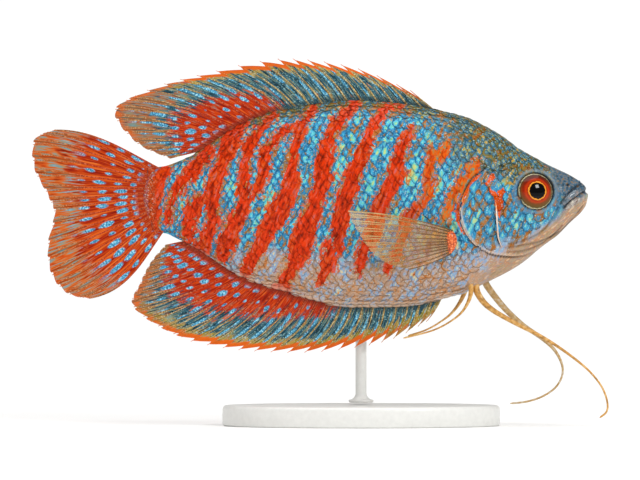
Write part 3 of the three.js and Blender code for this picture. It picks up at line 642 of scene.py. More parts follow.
def paint(piece, at):
    """Stores the skin's markings and painted crease shade for every point of a piece, by its place on the
    body.
    """
    mesh = piece.data
    x, z = at[:, 0], at[:, 2]
    height = (z - belly(x)) / np.maximum(back(x) - belly(x), 0.1)
    gill, side, along = from_line(x, z, GILL_SLIT)
    cover = (side > 0) & (along > SLIT_START) & (x > GILL_REAR)
    eye = np.hypot(x - EYE[0], z - EYE[1])
    mouth = from_line(x, z, MOUTH_LINE)[0]
    behind = (side < 0) & (x < 27)
    chin = smoothstep(0.7, -0.7, chin_height(x, z)) * smoothstep(20.5, 25.5, x)
    tan = np.maximum(smoothstep(0.6, -1.7, chin_height(x, z)), smoothstep(33.0, 35.5, x)) * chin
    bars = np.where(behind | (x < GILL_REAR) | (z > 5), bar_field(x, z, BARS), NO_BAR)
    bars += 0.15 * smoothstep(-8, -14, x)
    # Painted shade in creases: gill slit, mouth, folds, grooves, nostrils, round the eye and the fin root,
    # and along the chin's lower edge
    painted_crease_shade = 0.85 * hill(gill - 0.12, 0.13) * (side < 0) * faded(along, 0.03, 0.2) + 0.8 * hill(mouth, 0.16)
    painted_crease_shade += 0.5 * sum(hill(from_line(x, z, fold)[0], 0.13) for fold in CHIN_FOLDS)
    painted_crease_shade += 0.5 * hill(from_line(x, z, GILL_TOP)[0], 0.12) + 0.6 * hill(from_line(x, z, LIP_BACK)[0], 0.14)
    painted_crease_shade += sum(0.9 * hill(np.hypot(x - a, z - b), size) for (a, b), size in zip(NOSTRILS, NOSTRIL_SIZES))
    painted_crease_shade += 0.8 * hill(eye - 2.72, 0.08) + smoothstep(2.7, 2.58, eye)
    painted_crease_shade += 0.45 * smoothstep(0.035, 0.0, height) * smoothstep(24, 30, x)
    cheek, cheek_side, cheek_along = from_line(x, z, CHEEK_LINE)
    painted_crease_shade += 0.35 * hill(cheek - 0.25, 0.22) * (cheek_side < 0) * faded(cheek_along, 0.3, 0.1)
    ends = faded(along, 0.03, 0.3) * (x < 30)
    low = smoothstep(0.5, -2.5, z)
    pale = 0.6 * hill(gill - 0.1, 0.15) * (side > 0) * ends * low
    pale += 0.5 * smoothstep(0.04, 0.0, height) * smoothstep(22, 17, x) * smoothstep(-20, -15, x)
    rim = hill(gill - 0.1, 0.32) * (side > 0) * ends * (1 - low) * smoothstep(4.2, 3.2, z)
    rim += 0.75 * hill(gill - 0.5, 0.3) * behind * smoothstep(-8, -2, z) * smoothstep(0.5, -1, z) * ends
    fork = smoothstep(-0.4, 0.5, np.where(cover, bar_field(x, z, CHEEK_BARS), NO_BAR))
    knob = np.hypot((x - KNOB[0]) / 1.2, (z - KNOB[1]) / 2.6)
    painted_crease_shade += 0.7 * hill(knob - 1.0, 0.1) * smoothstep(-7.5, -5, z)
    nostril = hill(np.hypot(x - NOSTRILS[0][0], z - NOSTRILS[0][1]) - 0.33, 0.1)
    crown = 0.9 * smoothstep(8, 26, x) * smoothstep(0.5, 0.85, height)
    fields = {
        "bar": bars,
        "orange": smoothstep(BARS_PALE_FROM - 2, BARS_PALE_FROM + 6, x),
        "cheek": smoothstep(-0.1, 0.5, np.where(cover, 1.0, 0.0)) * smoothstep(5.2, 3.4, z),
        "sand": smoothstep(0.4, 0.05, height) * smoothstep(-19, -6, x),
        "slate": np.maximum(smoothstep(0.9, 1.0, height), crown),
        "steel": smoothstep(32.8, 35.8, x + 0.3 * z) * (1 - chin),
        "tan": 0.92 * tan, "rim": np.clip(rim + fork + 0.6 * nostril, 0, 1), "pale_rim": pale,
        "tail_root": 0.8 * smoothstep(-22.8, -24.4, x),
        # line: the painted crease shade
        "line": np.clip(painted_crease_shade, 0, 0.92),
        "ring": 0.5 * hill(eye - 3.05, 0.25),
    }
    for name, values in fields.items():
        set_attribute(mesh, name, values)


# Materials. Every hex value is sRGB


def add_node(tree, kind, inputs=None, stops=None, out=0, **settings):
    """Adds a node with its settings, and links or sets its inputs by name or number.

    Gives the output asked for. A kind without Node in its name is one of the ShaderNode kinds.
    """
    node = tree.nodes.new(kind if "Node" in kind else "ShaderNode" + kind)
    for key, value in settings.items():
        setattr(node, key, value)
    if stops:
        ramp = node.color_ramp
        while len(ramp.elements) < len(stops):
            ramp.elements.new(0.5)
        for element, (position, value) in zip(ramp.elements, stops):
            element.position = position
            element.color = colour(value) if isinstance(value, str) else value
    for key, value in (inputs or {}).items():
        if isinstance(value, bpy.types.NodeSocket):
            tree.links.new(value, node.inputs[key])
        else:
            node.inputs[key].default_value = value
    return node.outputs[out] if node.outputs else None


def set_surface(shader, **surface):
    """Sets or links the shader's inputs, each named by its label in small letters."""
    for key, value in surface.items():
        socket = shader.inputs[key.replace("_", " ").title().replace("Ior", "IOR")]
        if isinstance(value, bpy.types.NodeSocket):
            shader.id_data.links.new(value, socket)
        else:
            socket.default_value = value


def new_material(name, **surface):
    """A named material with these fixed values: gives what adds nodes to it, and its shader."""
    material = bpy.data.materials.new(name)
    material.use_nodes = True
    shader = material.node_tree.nodes["Principled BSDF"]
    set_surface(shader, **surface)
    return partial(add_node, material.node_tree), shader


def dimmed(choice, amount):
    """A lighter or darker version of a colour: amount 1 keeps it."""
    return (*[min(1.0, part * amount) for part in choice[:3]], 1.0)


def wet_skin():
    """Wet fish skin, grown as overlapping scales with mirror cells under clear slime.

    The eye gets bars and cells that break up along the scales, painted shade where scales overlap and
    painted pale glints, under a smooth wet gloss.
    """
    paints = bpy.context.scene.gourami_colours
    add, shader = new_material(
        "wet scaled fish skin", roughness=0.3, ior=1.36, specular_ior_level=0.12,
        coat_weight=0.03, coat_roughness=0.06,
    )
    where = add("TexCoord", out="Object")
    field = {name: add("Attribute", attribute_name=name, out="Fac") for name in (
        "tone", "exposed", "glow", "bar", "orange", "cheek", "sand", "slate", "steel", "tan", "rim",
        "pale_rim", "line", "ring", "tail_root",
    )}
    grain = add("TexNoise", {"Vector": where, "Scale": 1 / (GRAIN * MM), "Detail": 2.0})
    mottle = add("TexNoise", {"Vector": where, "Scale": 1 / (MOTTLE * MM), "Detail": 3.0})
    lying = add("Mapping", {
        "Vector": where, "Rotation": (0, BAR_SLOPE, 0),
        "Scale": (STREAK * MM, STREAK * MM, 3.2 * STREAK * MM),
    }, vector_type="TEXTURE")
    streak = add("TexNoise", {"Vector": lying, "Scale": 1.0, "Detail": 3.0})
    broad = add("TexNoise", {"Vector": lying, "Scale": 0.32, "Detail": 1.0})

    # A value from 0 to 1: high in the middle of a scale, swayed by broad patches and by fine streaks
    cell = add("Math", {0: field["glow"], 1: 0.24, 2: -0.7}, operation="MULTIPLY_ADD")
    for part, weight in ((streak, 1.0), (broad, 0.8), (field["tone"], 0.2), (mottle, 0.2)):
        cell = add("Math", {0: part, 1: weight, 2: cell}, operation="MULTIPLY_ADD")

    blue, cyan, cheek = tuple(paints.blue), tuple(paints.cyan), tuple(paints.cheek)
    flank = add("ValToRGB", {0: cell}, stops=[
        (0.19, "#B4682C"), (0.27, "#8A8A68"), (0.34, dimmed(blue, 0.66)), (0.46, blue),
        (0.58, cyan), (0.67, "#6CC4A4"), (0.79, "#BCCC84"),
    ])
    cheeks = add("ValToRGB", {0: cell}, stops=[
        (0.29, "#A8682C"), (0.38, "#7C8070"), (0.45, dimmed(cheek, 0.76)), (0.55, dimmed(cheek, 1.04)),
        (0.63, "#4CAAC4"), (0.72, "#70C4B4"), (0.83, "#B0C88C"),
    ])
    sand = add("ValToRGB", {0: cell}, stops=[
        (0.2, "#C48858"), (0.32, "#BE9A7E"), (0.42, tuple(paints.belly)), (0.52, "#B8A49C"),
        (0.6, "#8C9CBA"), (0.7, "#84AACA"), (0.82, "#D8C494"),
    ])
    slate = add("ValToRGB", {0: cell}, stops=[
        (0.23, "#985C1C"), (0.34, "#80702C"), (0.42, "#5A6848"), (0.49, tuple(paints.nape)),
        (0.58, "#44789A"), (0.65, "#7C9870"), (0.75, "#B48C34"),
    ])
    red = add("ValToRGB", {0: streak}, stops=[
        (0.33, dimmed(paints.bar, 0.3)), (0.46, dimmed(paints.bar, 0.72)), (0.57, tuple(paints.bar)),
        (0.71, "#E2440C"),
    ])
    gold = add("ValToRGB", {0: streak}, stops=[
        (0.3, "#A8400A"), (0.43, "#D84C06"), (0.53, "#D46A18"), (0.6, "#90804C"), (0.68, "#4A8CA8"),
    ])
    jaw = add("Mapping", {
        "Vector": where, "Rotation": (0, -JAW_SLOPE, 0), "Scale": (1.3 * MM, 0.5 * MM, 0.4 * MM),
    }, vector_type="TEXTURE")
    jaw = add("TexNoise", {"Vector": jaw, "Scale": 1.0, "Detail": 3.0})
    tan = add("ValToRGB", {0: jaw}, stops=[
        (0.34, dimmed(paints.throat, 0.55)), (0.43, dimmed(paints.throat, 0.85)), (0.5, "#948A80"),
        (0.56, "#B87C50"), (0.64, "#CCB08C"),
    ])
    steel = add("ValToRGB", {0: mottle}, stops=[
        (0.34, "#2A3A46"), (0.43, "#364E5E"), (0.5, "#40627A"), (0.56, "#666C70"), (0.63, "#7C6448"),
    ])

    # Bars and regions end on ragged edges: noise shifts the distance from the edge
    sway = add("Math", {0: streak, 1: 2.3, 2: -2.15}, operation="MULTIPLY_ADD")
    sway = add("Math", {0: broad, 1: 2.0, 2: sway}, operation="MULTIPLY_ADD")
    own = add("Math", {0: field["tone"], 1: 0.4, 2: -0.2}, operation="MULTIPLY_ADD")
    sway = add("Math", {0: sway, 1: own}, operation="ADD")
    inside = add("Math", {0: sway, 1: field["bar"]}, operation="ADD")
    barred = add("MapRange", {0: inside, 1: -0.05, 2: 0.06})
    frayed = add("Math", {0: mottle, 1: 3.0, 2: inside}, operation="MULTIPLY_ADD")
    fringe = add("MapRange", {0: frayed, 1: 1.2, 2: 1.3, 4: 0.85})
    ripe = add("Math", {0: sway, 1: 0.4, 2: field["orange"]}, operation="MULTIPLY_ADD")
    bars = add("Mix", {0: ripe, 6: red, 7: gold}, data_type="RGBA", out=2)
    base = flank
    for name, layer in (("cheek", cheeks), ("sand", sand), ("slate", slate)):
        amount = add("Math", {0: sway, 1: 0.45, 2: field[name]}, operation="MULTIPLY_ADD")
        share = add("MapRange", {0: amount, 1: 0.35, 2: 0.65})
        base = add("Mix", {0: share, 6: base, 7: layer}, data_type="RGBA", out=2)
    base = add("Mix", {0: fringe, 6: base, 7: colour("#C4641E")}, data_type="RGBA", out=2)
    base = add("Mix", {0: barred, 6: base, 7: bars}, data_type="RGBA", out=2)
    amount = add("Math", {0: sway, 1: 0.45, 2: field["rim"]}, operation="MULTIPLY_ADD")
    share = add("MapRange", {0: amount, 1: 0.4, 2: 0.55})
    base = add("Mix", {0: share, 6: base, 7: colour("#DE5206")}, data_type="RGBA", out=2)

    # Painted shade: a scale is painted dark where the next one covers it and at its outline, and bright in
    # its middle
    painted_overlap_shade = add("MapRange", {0: field["exposed"], 1: 0.38, 2: 0.6, 3: 0.8, 4: 1.0})
    glow = add("MapRange", {0: field["glow"], 1: 0.0, 2: 0.5, 3: 0.9, 4: 1.0})
    shade = add("Math", {0: painted_overlap_shade, 1: glow}, operation="MULTIPLY")
    even = add("Math", {0: barred, 1: 0.5, 2: field["sand"]}, operation="MULTIPLY_ADD")
    even = add("MapRange", {0: even, 2: 0.65, 4: 0.94})
    shade = add("Mix", {0: even, 2: shade, 3: 0.98})
    base = add("Mix", {0: 1.0, 6: base, 7: shade}, data_type="RGBA", blend_type="MULTIPLY", out=2)
    # Painted glints: pale specks from fine noise, few of them in the bars
    calm = add("MapRange", {0: barred, 3: 0.65, 4: 0.03})
    painted_glint = add("MapRange", {0: grain, 1: 0.6, 2: 0.7})
    painted_glint = add("Math", {0: painted_glint, 1: calm}, operation="MULTIPLY")
    base = add("Mix", {0: painted_glint, 6: base, 7: colour("#BFE0E2")}, data_type="RGBA", out=2)
    stalk = add("ValToRGB", {0: grain}, stops=[
        (0.36, "#8A2C0E"), (0.5, "#C44810"), (0.6, "#B4683C"), (0.7, "#C8B4A8"),
    ])
    # Last layers; "line" is the painted shade in creases, laid on as a dark colour
    for name, layer in (
        ("tail_root", stalk), ("steel", steel), ("tan", tan), ("ring", colour("#7E8894")),
        ("pale_rim", colour("#F4D6BC")), ("line", colour("#241C1A")),
    ):
        base = add("Mix", {0: field[name], 6: base, 7: layer}, data_type="RGBA", out=2)
    bump = add("Bump", {"Strength": 0.3, "Distance": 0.04 * MM, "Height": grain})
    set_surface(shader, base_color=base, normal=bump)


def fin_membrane(name, alpha):
    """Thin living fin membrane, grown between rays: wet, as clear as its alpha says, blotched with pigment.

    Blue ovals lie one above the other in each gap between rays, and are drawn out to dashes further out.
    """
    paints = bpy.context.scene.gourami_colours
    add, shader = new_material(
        name, roughness=0.35, ior=1.36, specular_ior_level=0.12, coat_weight=0.03, alpha=alpha,
    )
    where = add("TexCoord", out="Object")
    rays = add("UVMap", uv_map="Rays")
    field = {name_of: add("Attribute", attribute_name=name_of, out="Fac") for name_of in (
        "red", "edge", "root", "spotted", "olive", "gold", "stretch", "fan", "gap",
    )}
    column, height = add("SeparateXYZ", {0: rays}).node.outputs[:2]
    gap = add("Math", {0: column}, operation="FLOOR")
    across = add("Math", {0: column}, operation="FRACT")
    across = add("Math", {0: across, 1: 0.5}, operation="SUBTRACT")
    middle = add("Math", {0: field["stretch"], 1: 0.2, 2: across}, operation="MULTIPLY_ADD")
    off_middle = add("Math", {0: across}, operation="ABSOLUTE")
    grain = add("TexNoise", {"Vector": where, "Scale": 1 / (GRAIN * MM), "Detail": 2.0})
    drawn = add("Mapping", {"Vector": rays, "Scale": (3.4, 1.3, 1.0)})
    streak = add("TexNoise", {"Vector": drawn, "Scale": 1.0, "Detail": 3.0})
    drawn = add("Mapping", {"Vector": rays, "Scale": (9.0, 0.9, 1.0)})
    fibre = add("TexNoise", {"Vector": drawn, "Scale": 1.0, "Detail": 2.0})

    # Ground colours: red, teal towards the margin, and streaks of orange and grey at the rear
    teal = add("ValToRGB", {0: fibre}, stops=[
        (0.34, dimmed(paints.fin_teal, 0.35)), (0.44, dimmed(paints.fin_teal, 0.9)), (0.51, "#2E6278"),
        (0.57, "#5A7466"), (0.64, "#88804A"), (0.74, "#A86A34"),
    ])
    red = add("ValToRGB", {0: fibre}, stops=[
        (0.3, dimmed(paints.fin_red, 0.45)), (0.46, tuple(paints.fin_red)), (0.6, "#CC440A"),
        (0.72, "#D06828"),
    ])
    olive = add("ValToRGB", {0: fibre}, stops=[
        (0.3, "#98360A"), (0.43, "#CA4E12"), (0.52, "#C46E34"), (0.58, "#8C8C74"), (0.66, "#6F94A0"),
        (0.78, "#A4BCBC"),
    ])
    grey = add("MapRange", {0: field["fan"], 3: 0.42, 4: 0.0})
    olive = add("Mix", {0: grey, 6: olive, 7: colour("#5E6C54")}, data_type="RGBA", out=2)
    orange = add("ValToRGB", {0: fibre}, stops=[
        (0.3, "#A02C06"), (0.45, "#C84A0E"), (0.58, "#D8621C"), (0.74, "#DC8A4C"),
    ])
    # The tail's rays are broad orange bands on a dark red ground
    band = add("Math", {0: streak, 1: 0.35, 2: off_middle}, operation="MULTIPLY_ADD")
    band = add("MapRange", {0: band, 1: 0.36, 2: 0.5})
    band = add("Math", {0: band, 1: field["fan"]}, operation="MULTIPLY")
    deep = add("MapRange", {0: field["fan"], 3: 1.0, 4: 0.85})
    red = add("Mix", {0: 1.0, 6: red, 7: deep}, data_type="RGBA", blend_type="MULTIPLY", out=2)
    red = add("Mix", {0: band, 6: red, 7: orange}, data_type="RGBA", out=2)
    ragged = add("Math", {0: streak, 1: 2.4, 2: -2.1}, operation="MULTIPLY_ADD")
    ragged = add("Math", {0: fibre, 1: 1.8, 2: ragged}, operation="MULTIPLY_ADD")
    calm = add("MapRange", {0: field["fan"], 3: 1.0, 4: 0.5})
    ragged = add("Math", {0: ragged, 1: calm}, operation="MULTIPLY")
    gold = add("ValToRGB", {0: fibre}, stops=[
        (0.3, "#5A5A28"), (0.45, "#8C8638"), (0.56, "#B8903C"), (0.68, "#8FA888"),
    ])
    base = teal
    for name_of, layer in (("gold", gold), ("red", red), ("olive", olive)):
        amount = add("Math", {0: ragged, 1: field[name_of]}, operation="ADD")
        share = add("MapRange", {0: amount, 1: 0.35, 2: 0.65})
        base = add("Mix", {0: share, 6: base, 7: layer}, data_type="RGBA", out=2)
    close = add("MapRange", {0: off_middle, 1: 0.42, 2: 0.5, 3: 1.0, 4: 0.45})
    base = add("Mix", {0: 1.0, 6: base, 7: close}, data_type="RGBA", blend_type="MULTIPLY", out=2)

    # Ovals: one column to a gap, each column at a height of its own, some of them missing
    shift = add("TexWhiteNoise", {1: gap}, noise_dimensions="1D")
    rise = add("Math", {0: shift, 1: 0.45, 2: height}, operation="MULTIPLY_ADD")
    level = add("Math", {0: rise}, operation="FLOOR")
    along = add("Math", {0: rise}, operation="FRACT")
    along = add("Math", {0: along, 1: 0.5}, operation="SUBTRACT")
    cell = add("CombineXYZ", {0: gap, 1: level})
    lot = add("TexWhiteNoise", {0: cell}, noise_dimensions="2D")
    long = add("MapRange", {0: field["stretch"], 3: 3.1, 4: 1.2})
    along = add("Math", {0: along, 1: long}, operation="MULTIPLY")
    slim = add("MapRange", {0: field["stretch"], 3: 2.0, 4: 3.6})
    across = add("Math", {0: middle, 1: field["gap"]}, operation="MULTIPLY")
    across = add("Math", {0: across, 1: slim}, operation="MULTIPLY")
    spot = add("CombineXYZ", {0: across, 1: along})
    spot = add("VectorMath", {0: spot}, operation="LENGTH", out="Value")
    spot = add("Math", {0: streak, 1: 1.1, 2: spot}, operation="MULTIPLY_ADD")
    spot = add("Math", {0: lot, 1: 0.75, 2: spot}, operation="MULTIPLY_ADD")
    spot = add("MapRange", {0: spot, 1: 1.72, 2: 1.44})
    spot = add("Math", {0: spot, 1: field["spotted"]}, operation="MULTIPLY")
    blue = add("ValToRGB", {0: grain}, stops=[
        (0.36, dimmed(paints.fin_spot, 0.45)), (0.48, tuple(paints.fin_spot)), (0.58, "#68B8D4"),
        (0.68, "#C0E4EC"),
    ])
    base = add("Mix", {0: spot, 6: base, 7: blue}, data_type="RGBA", out=2)
    glint = add("MapRange", {0: grain, 1: 0.58, 2: 0.68, 4: 0.55})
    calm = add("MapRange", {0: field["olive"], 3: 1.0, 4: 0.0})
    calm = add("Math", {0: calm, 1: field["red"]}, operation="SUBTRACT", use_clamp=True)
    glint = add("Math", {0: glint, 1: calm}, operation="MULTIPLY")
    base = add("Mix", {0: glint, 6: base, 7: colour("#A8D8D8")}, data_type="RGBA", out=2)
    ragged = add("Math", {0: streak, 1: 1.3, 2: -0.65}, operation="MULTIPLY_ADD")
    edge = add("Math", {0: ragged, 1: field["edge"]}, operation="ADD")
    edge = add("MapRange", {0: edge, 1: 0.3, 2: 0.7})
    dark, light = dimmed(paints.fin_edge, 0.7), dimmed(paints.fin_edge, 1.3)
    margin = add("Mix", {0: fibre, 6: dark, 7: light}, data_type="RGBA", out=2)
    base = add("Mix", {0: edge, 6: base, 7: margin}, data_type="RGBA", out=2)
    # Painted shade where the fin leaves the body: a dark band at the root
    base = add("Mix", {0: field["root"], 6: base, 7: colour("#2A2A28")}, data_type="RGBA", out=2)
    bump = add("Bump", {"Strength": 0.3, "Distance": 0.05 * MM, "Height": fibre})
    set_surface(shader, base_color=base, normal=bump)


def rim_skin():
    """The thin bony edge of the gill cover under bare skin: orange above, bleached to bone white below."""
    add, shader = new_material("gill cover rim", roughness=0.35, ior=1.4, specular_ior_level=0.3)
    where = add("TexCoord", out="Object")
    height = add("Attribute", attribute_name="reach", out="Fac")
    grain = add("TexNoise", {"Vector": where, "Scale": 1 / (MOTTLE * MM), "Detail": 2.0})
    swayed = add("Math", {0: grain, 1: 3.0, 2: height}, operation="MULTIPLY_ADD")
    share = add("MapRange", {0: swayed, 1: -2.5, 2: 3.0})
    base = add("ValToRGB", {0: share}, stops=[
        (0.0, "#DCC0AC"), (0.3, "#F2E6DC"), (0.6, "#F4B074"), (0.8, "#EC7A24"), (1.0, "#D85410"),
    ])
    set_surface(shader, base_color=base)


def lip_skin(name, dark, middle, pale):
    """Moist lip: bare soft skin stretched smooth, evenly toned, with a wet shine along its top."""
    add, shader = new_material(
        name, roughness=0.22, ior=1.4, specular_ior_level=0.5, coat_weight=0.5, coat_roughness=0.12,
    )
    where = add("TexCoord", out="Object")
    mottle = add("TexNoise", {"Vector": where, "Scale": 1 / (LIP_MOTTLE * MM), "Detail": 3.0})
    base = add("ValToRGB", {0: mottle}, stops=[(0.32, dark), (0.5, middle), (0.68, pale)])
    set_surface(shader, base_color=base)


def fin_ray():
    """Fin rays of clear bone under thin skin, built of short joints that show as fine rings of tone."""
    paints = bpy.context.scene.gourami_colours
    add, shader = new_material("jointed fin ray", roughness=0.4, ior=1.5, specular_ior_level=0.2)
    where = add("TexCoord", out="Object")
    field = {name: add("Attribute", attribute_name=name, out="Fac") for name in (
        "red", "edge", "root", "reach", "olive",
    )}
    joints = add("Math", {0: field["reach"], 1: 1 / (RAY_JOINT * MM)}, operation="MULTIPLY")
    joints = add("Math", {0: joints}, operation="FRACT")
    grain = add("TexNoise", {"Vector": where, "Scale": 1 / (GRAIN * MM), "Detail": 2.0})
    front = add("ValToRGB", {0: grain}, stops=[(0.35, "#806230"), (0.5, "#B09050"), (0.68, "#DCCC9C")])
    rear = add("ValToRGB", {0: grain}, stops=[
        (0.35, dimmed(paints.fin_red, 0.55)), (0.5, "#B8360E"), (0.68, "#C8603A"),
    ])
    olive = add("ValToRGB", {0: grain}, stops=[(0.35, "#7A4E26"), (0.5, "#B4703A"), (0.68, "#C8A070")])
    base = front
    for name, layer in (("red", rear), ("olive", olive), ("edge", tuple(paints.fin_edge))):
        base = add("Mix", {0: field[name], 6: base, 7: layer}, data_type="RGBA", out=2)
    ring = add("MapRange", {0: joints, 1: 0.0, 2: 0.25, 3: 0.75, 4: 1.0})
    base = add("Mix", {0: 1.0, 6: base, 7: ring}, data_type="RGBA", blend_type="MULTIPLY", out=2)
    # Painted shade at the root of each ray
    base = add("Mix", {0: field["root"], 6: base, 7: colour("#3A3028")}, data_type="RGBA", out=2)
    set_surface(shader, base_color=base)


def clear_membrane():
    """Clear fin membrane: thin as film and faintly tawny, so that the flank shows through between rays."""
    add, shader = new_material("clear fin membrane", roughness=0.35, ior=1.36, specular_ior_level=0.2)
    where = add("TexCoord", out="Object")
    cloud = add("TexNoise", {"Vector": where, "Scale": 1 / (FILM_CLOUD * MM), "Detail": 3.0})
    root = add("Attribute", attribute_name="root", out="Fac")
    base = add("ValToRGB", {0: cloud}, stops=[(0.35, "#CC762C"), (0.5, "#E89C4C"), (0.65, "#DCAC70")])
    thick = add("MapRange", {0: root, 3: 0.17, 4: 0.36})
    set_surface(shader, base_color=base, alpha=thick)


def clear_ray():
    """Pectoral rays: fine amber bone under clear skin, darker towards the root."""
    add, shader = new_material("clear fin ray", roughness=0.4, ior=1.5)
    reach = add("Attribute", attribute_name="reach", out="Fac")
    along = add("Math", {0: reach, 1: 1 / (CLEAR_RAY_LENGTH * MM)}, operation="MULTIPLY")
    base = add("ValToRGB", {0: along}, stops=[
        (0.0, "#4A3416"), (0.3, "#6E5228"), (0.6, "#A8854C"), (1.0, "#CCB888"),
    ])
    set_surface(shader, base_color=base)


def root_skin():
    """The pectoral root: moist orange skin set with tiny scales, each painted with a pale glint in its
    middle and darker between them.
    """
    add, shader = new_material("glittering fin root", roughness=0.38, ior=1.4, coat_weight=0.3)
    where = add("TexCoord", out="Object")
    # Painted glints: pale at the middle of each tiny scale, darker between them
    specks = add("TexVoronoi", {"Vector": where, "Scale": 1 / (ROOT_SPECK * MM)})
    base = add("ValToRGB", {0: specks}, stops=[
        (0.05, "#F6C9A0"), (0.22, "#EE8A4C"), (0.5, "#DC5A1C"), (0.85, "#8E3410"),
    ])
    bump = add("Bump", {"Strength": 0.6, "Distance": 0.06 * MM, "Height": specks}, invert=True)
    set_surface(shader, base_color=base, normal=bump)


def feeler_skin(name, gold, pale, dark):
    """Soft skin over a single long ray: smooth and wet, with a faint beading that darkens it in rings."""
    add, shader = new_material(
        name, roughness=0.4, ior=1.4, coat_weight=0.25,
        subsurface_weight=0.1, subsurface_radius=(1.0, 0.5, 0.3), subsurface_scale=0.3 * MM,
    )
    where = add("TexCoord", out="Object")
    reach = add("Attribute", attribute_name="reach", out="Fac")
    grain = add("TexNoise", {"Vector": where, "Scale": 1 / (FEELER_GRAIN * MM), "Detail": 2.0})
    beads = add("Math", {0: reach, 1: 2 * math.pi / (BEAD * MM)}, operation="MULTIPLY")
    beads = add("Math", {0: beads}, operation="SINE")
    tone = add("Math", {0: beads, 1: 0.02, 2: grain}, operation="MULTIPLY_ADD")
    base = add("ValToRGB", {0: tone}, stops=[(0.2, dark), (0.5, gold), (0.8, pale)])
    bump = add("Bump", {"Strength": 0.4, "Distance": 0.05 * MM, "Height": beads})
    set_surface(shader, base_color=base, normal=bump)


def eye_coat():
    """A fish eye under its clear wet cornea: black lens, gold ring, red iris darkening outwards, pale rim.
    """
    paints = bpy.context.scene.gourami_colours
    add, shader = new_material("wet fish eye", roughness=0.05, ior=1.34, specular_ior_level=0.3)
    reach = add("Attribute", attribute_name="reach", out="Fac")
    where = add("TexCoord", out="Object")
    grain = add("TexNoise", {"Vector": where, "Scale": 1 / (IRIS_GRAIN * MM), "Detail": 3.0})
    swayed = add("Math", {0: grain, 1: 0.12, 2: reach}, operation="MULTIPLY_ADD")
    swayed = add("Math", {0: swayed, 1: 0.06}, operation="SUBTRACT")
    upper = add("Attribute", attribute_name="rise", out="Fac")
    base = add("ValToRGB", {0: swayed}, stops=[
        (0.0, "#020203"), (0.445, "#040405"), (0.465, "#F0921C"), (0.5, "#E8A038"), (0.535, "#8C2606"),
        (0.64, tuple(paints.iris)), (0.76, "#8A1E04"), (0.86, "#7E3C12"), (0.915, "#463E22"),
        (0.95, "#B4AA84"), (0.972, "#CCC09C"), (0.988, "#34342C"), (1.0, "#141414"),
    ])
    outer = add("MapRange", {0: swayed, 1: 0.58, 2: 0.76})
    inner = add("MapRange", {0: swayed, 1: 0.945, 2: 0.915})
    band = add("Math", {0: outer, 1: inner}, operation="MULTIPLY")
    # Within the iris band: an olive tint low down, and painted shade darkening the top
    for start, full, tint in ((-0.05, -0.7, "#5C4C1E"), (0.05, 0.75, "#34140E")):
        share = add("MapRange", {0: upper, 1: start, 2: full, 4: 0.75})
        share = add("Math", {0: share, 1: band}, operation="MULTIPLY")
        base = add("Mix", {0: share, 6: base, 7: colour(tint)}, data_type="RGBA", out=2)
    set_surface(shader, base_color=base)


def moulded_stand():
    """Satin moulded acrylic: even and pale, with the faintest orange peel."""
    paints = bpy.context.scene.gourami_colours
    add, shader = new_material("satin moulded acrylic", roughness=0.35, ior=1.49)
    where = add("TexCoord", out="Object")
    peel = add("TexNoise", {"Vector": where, "Scale": 1 / (STAND_PEEL * MM), "Detail": 2.0})
    base = add("ValToRGB", {0: peel}, stops=[(0.3, dimmed(paints.stand, 0.94)), (0.7, tuple(paints.stand))])
    bump = add("Bump", {"Strength": 0.1, "Distance": 0.02 * MM, "Height": peel})
    set_surface(shader, base_color=base, normal=bump)


# The small shapes that are repeated

SCALE_OUTLINE = 14
SCALE_RINGS = (1.0, 0.66, 0.3)
SCALE_DOME = 0.01
SCALE_PATCH = 0.003
# The middle of the part of a scale that shows, behind the scale's own middle, and its half length
SHOWN_AT = 0.21
SHOWN_REACH = 0.3
# How much larger the scales of the gill cover are
COVER_SCALE = 1.35
# How far a scale takes one colour, from 0 to 1
SCALE_UNITY = 0.3


def scale_shape():
    """One scale of length and width 1: a thin domed plate, cut straight at the root and round behind."""
    turn = np.linspace(0, 2 * np.pi, SCALE_OUTLINE, endpoint=False)
    edge_x = 0.5 * np.sign(np.cos(turn)) * np.abs(np.cos(turn)) ** 0.95
    edge_y = 0.5 * np.sign(np.sin(turn)) * np.abs(np.sin(turn)) ** 1.1
    points = []
    for ring in SCALE_RINGS:
        x = SHOWN_AT + (edge_x - SHOWN_AT) * ring
        points.append(np.stack([x, edge_y * ring, SCALE_DOME * (1 - ring**2) + 0 * turn], -1))
    top, bottom = len(SCALE_RINGS) * SCALE_OUTLINE, len(SCALE_RINGS) * SCALE_OUTLINE + 1
    points = np.concatenate([*points, [[SHOWN_AT, 0, SCALE_DOME], [0, 0, -0.4 * SCALE_DOME]]])
    faces = []
    for i in range(SCALE_OUTLINE):
        j = (i + 1) % SCALE_OUTLINE
        for ring in range(len(SCALE_RINGS) - 1):
            a, b = ring * SCALE_OUTLINE, (ring + 1) * SCALE_OUTLINE
            faces.append([a + i, a + j, b + j, b + i])
        inner = top - SCALE_OUTLINE
        faces.append([inner + i, inner + j, top])
        faces.append([j, i, bottom])
    shape = new_object("scale shape", points.tolist(), [], faces)
    from_middle = np.abs(points[:, 0] - SHOWN_AT) / SHOWN_REACH + np.abs(points[:, 1]) / 0.5
    # "exposed" sets the painted shade of a scale's covered front; "glow", highest in the middle of the part
    # that shows, sets the painted shade at its outline and the cell colours
    set_attribute(shape.data, "exposed", points[:, 0] + 0.5)
    set_attribute(shape.data, "glow", np.clip(1 - from_middle, 0, 1))
    set_attribute(shape.data, "patch", points, "FLOAT_VECTOR")
    return shape


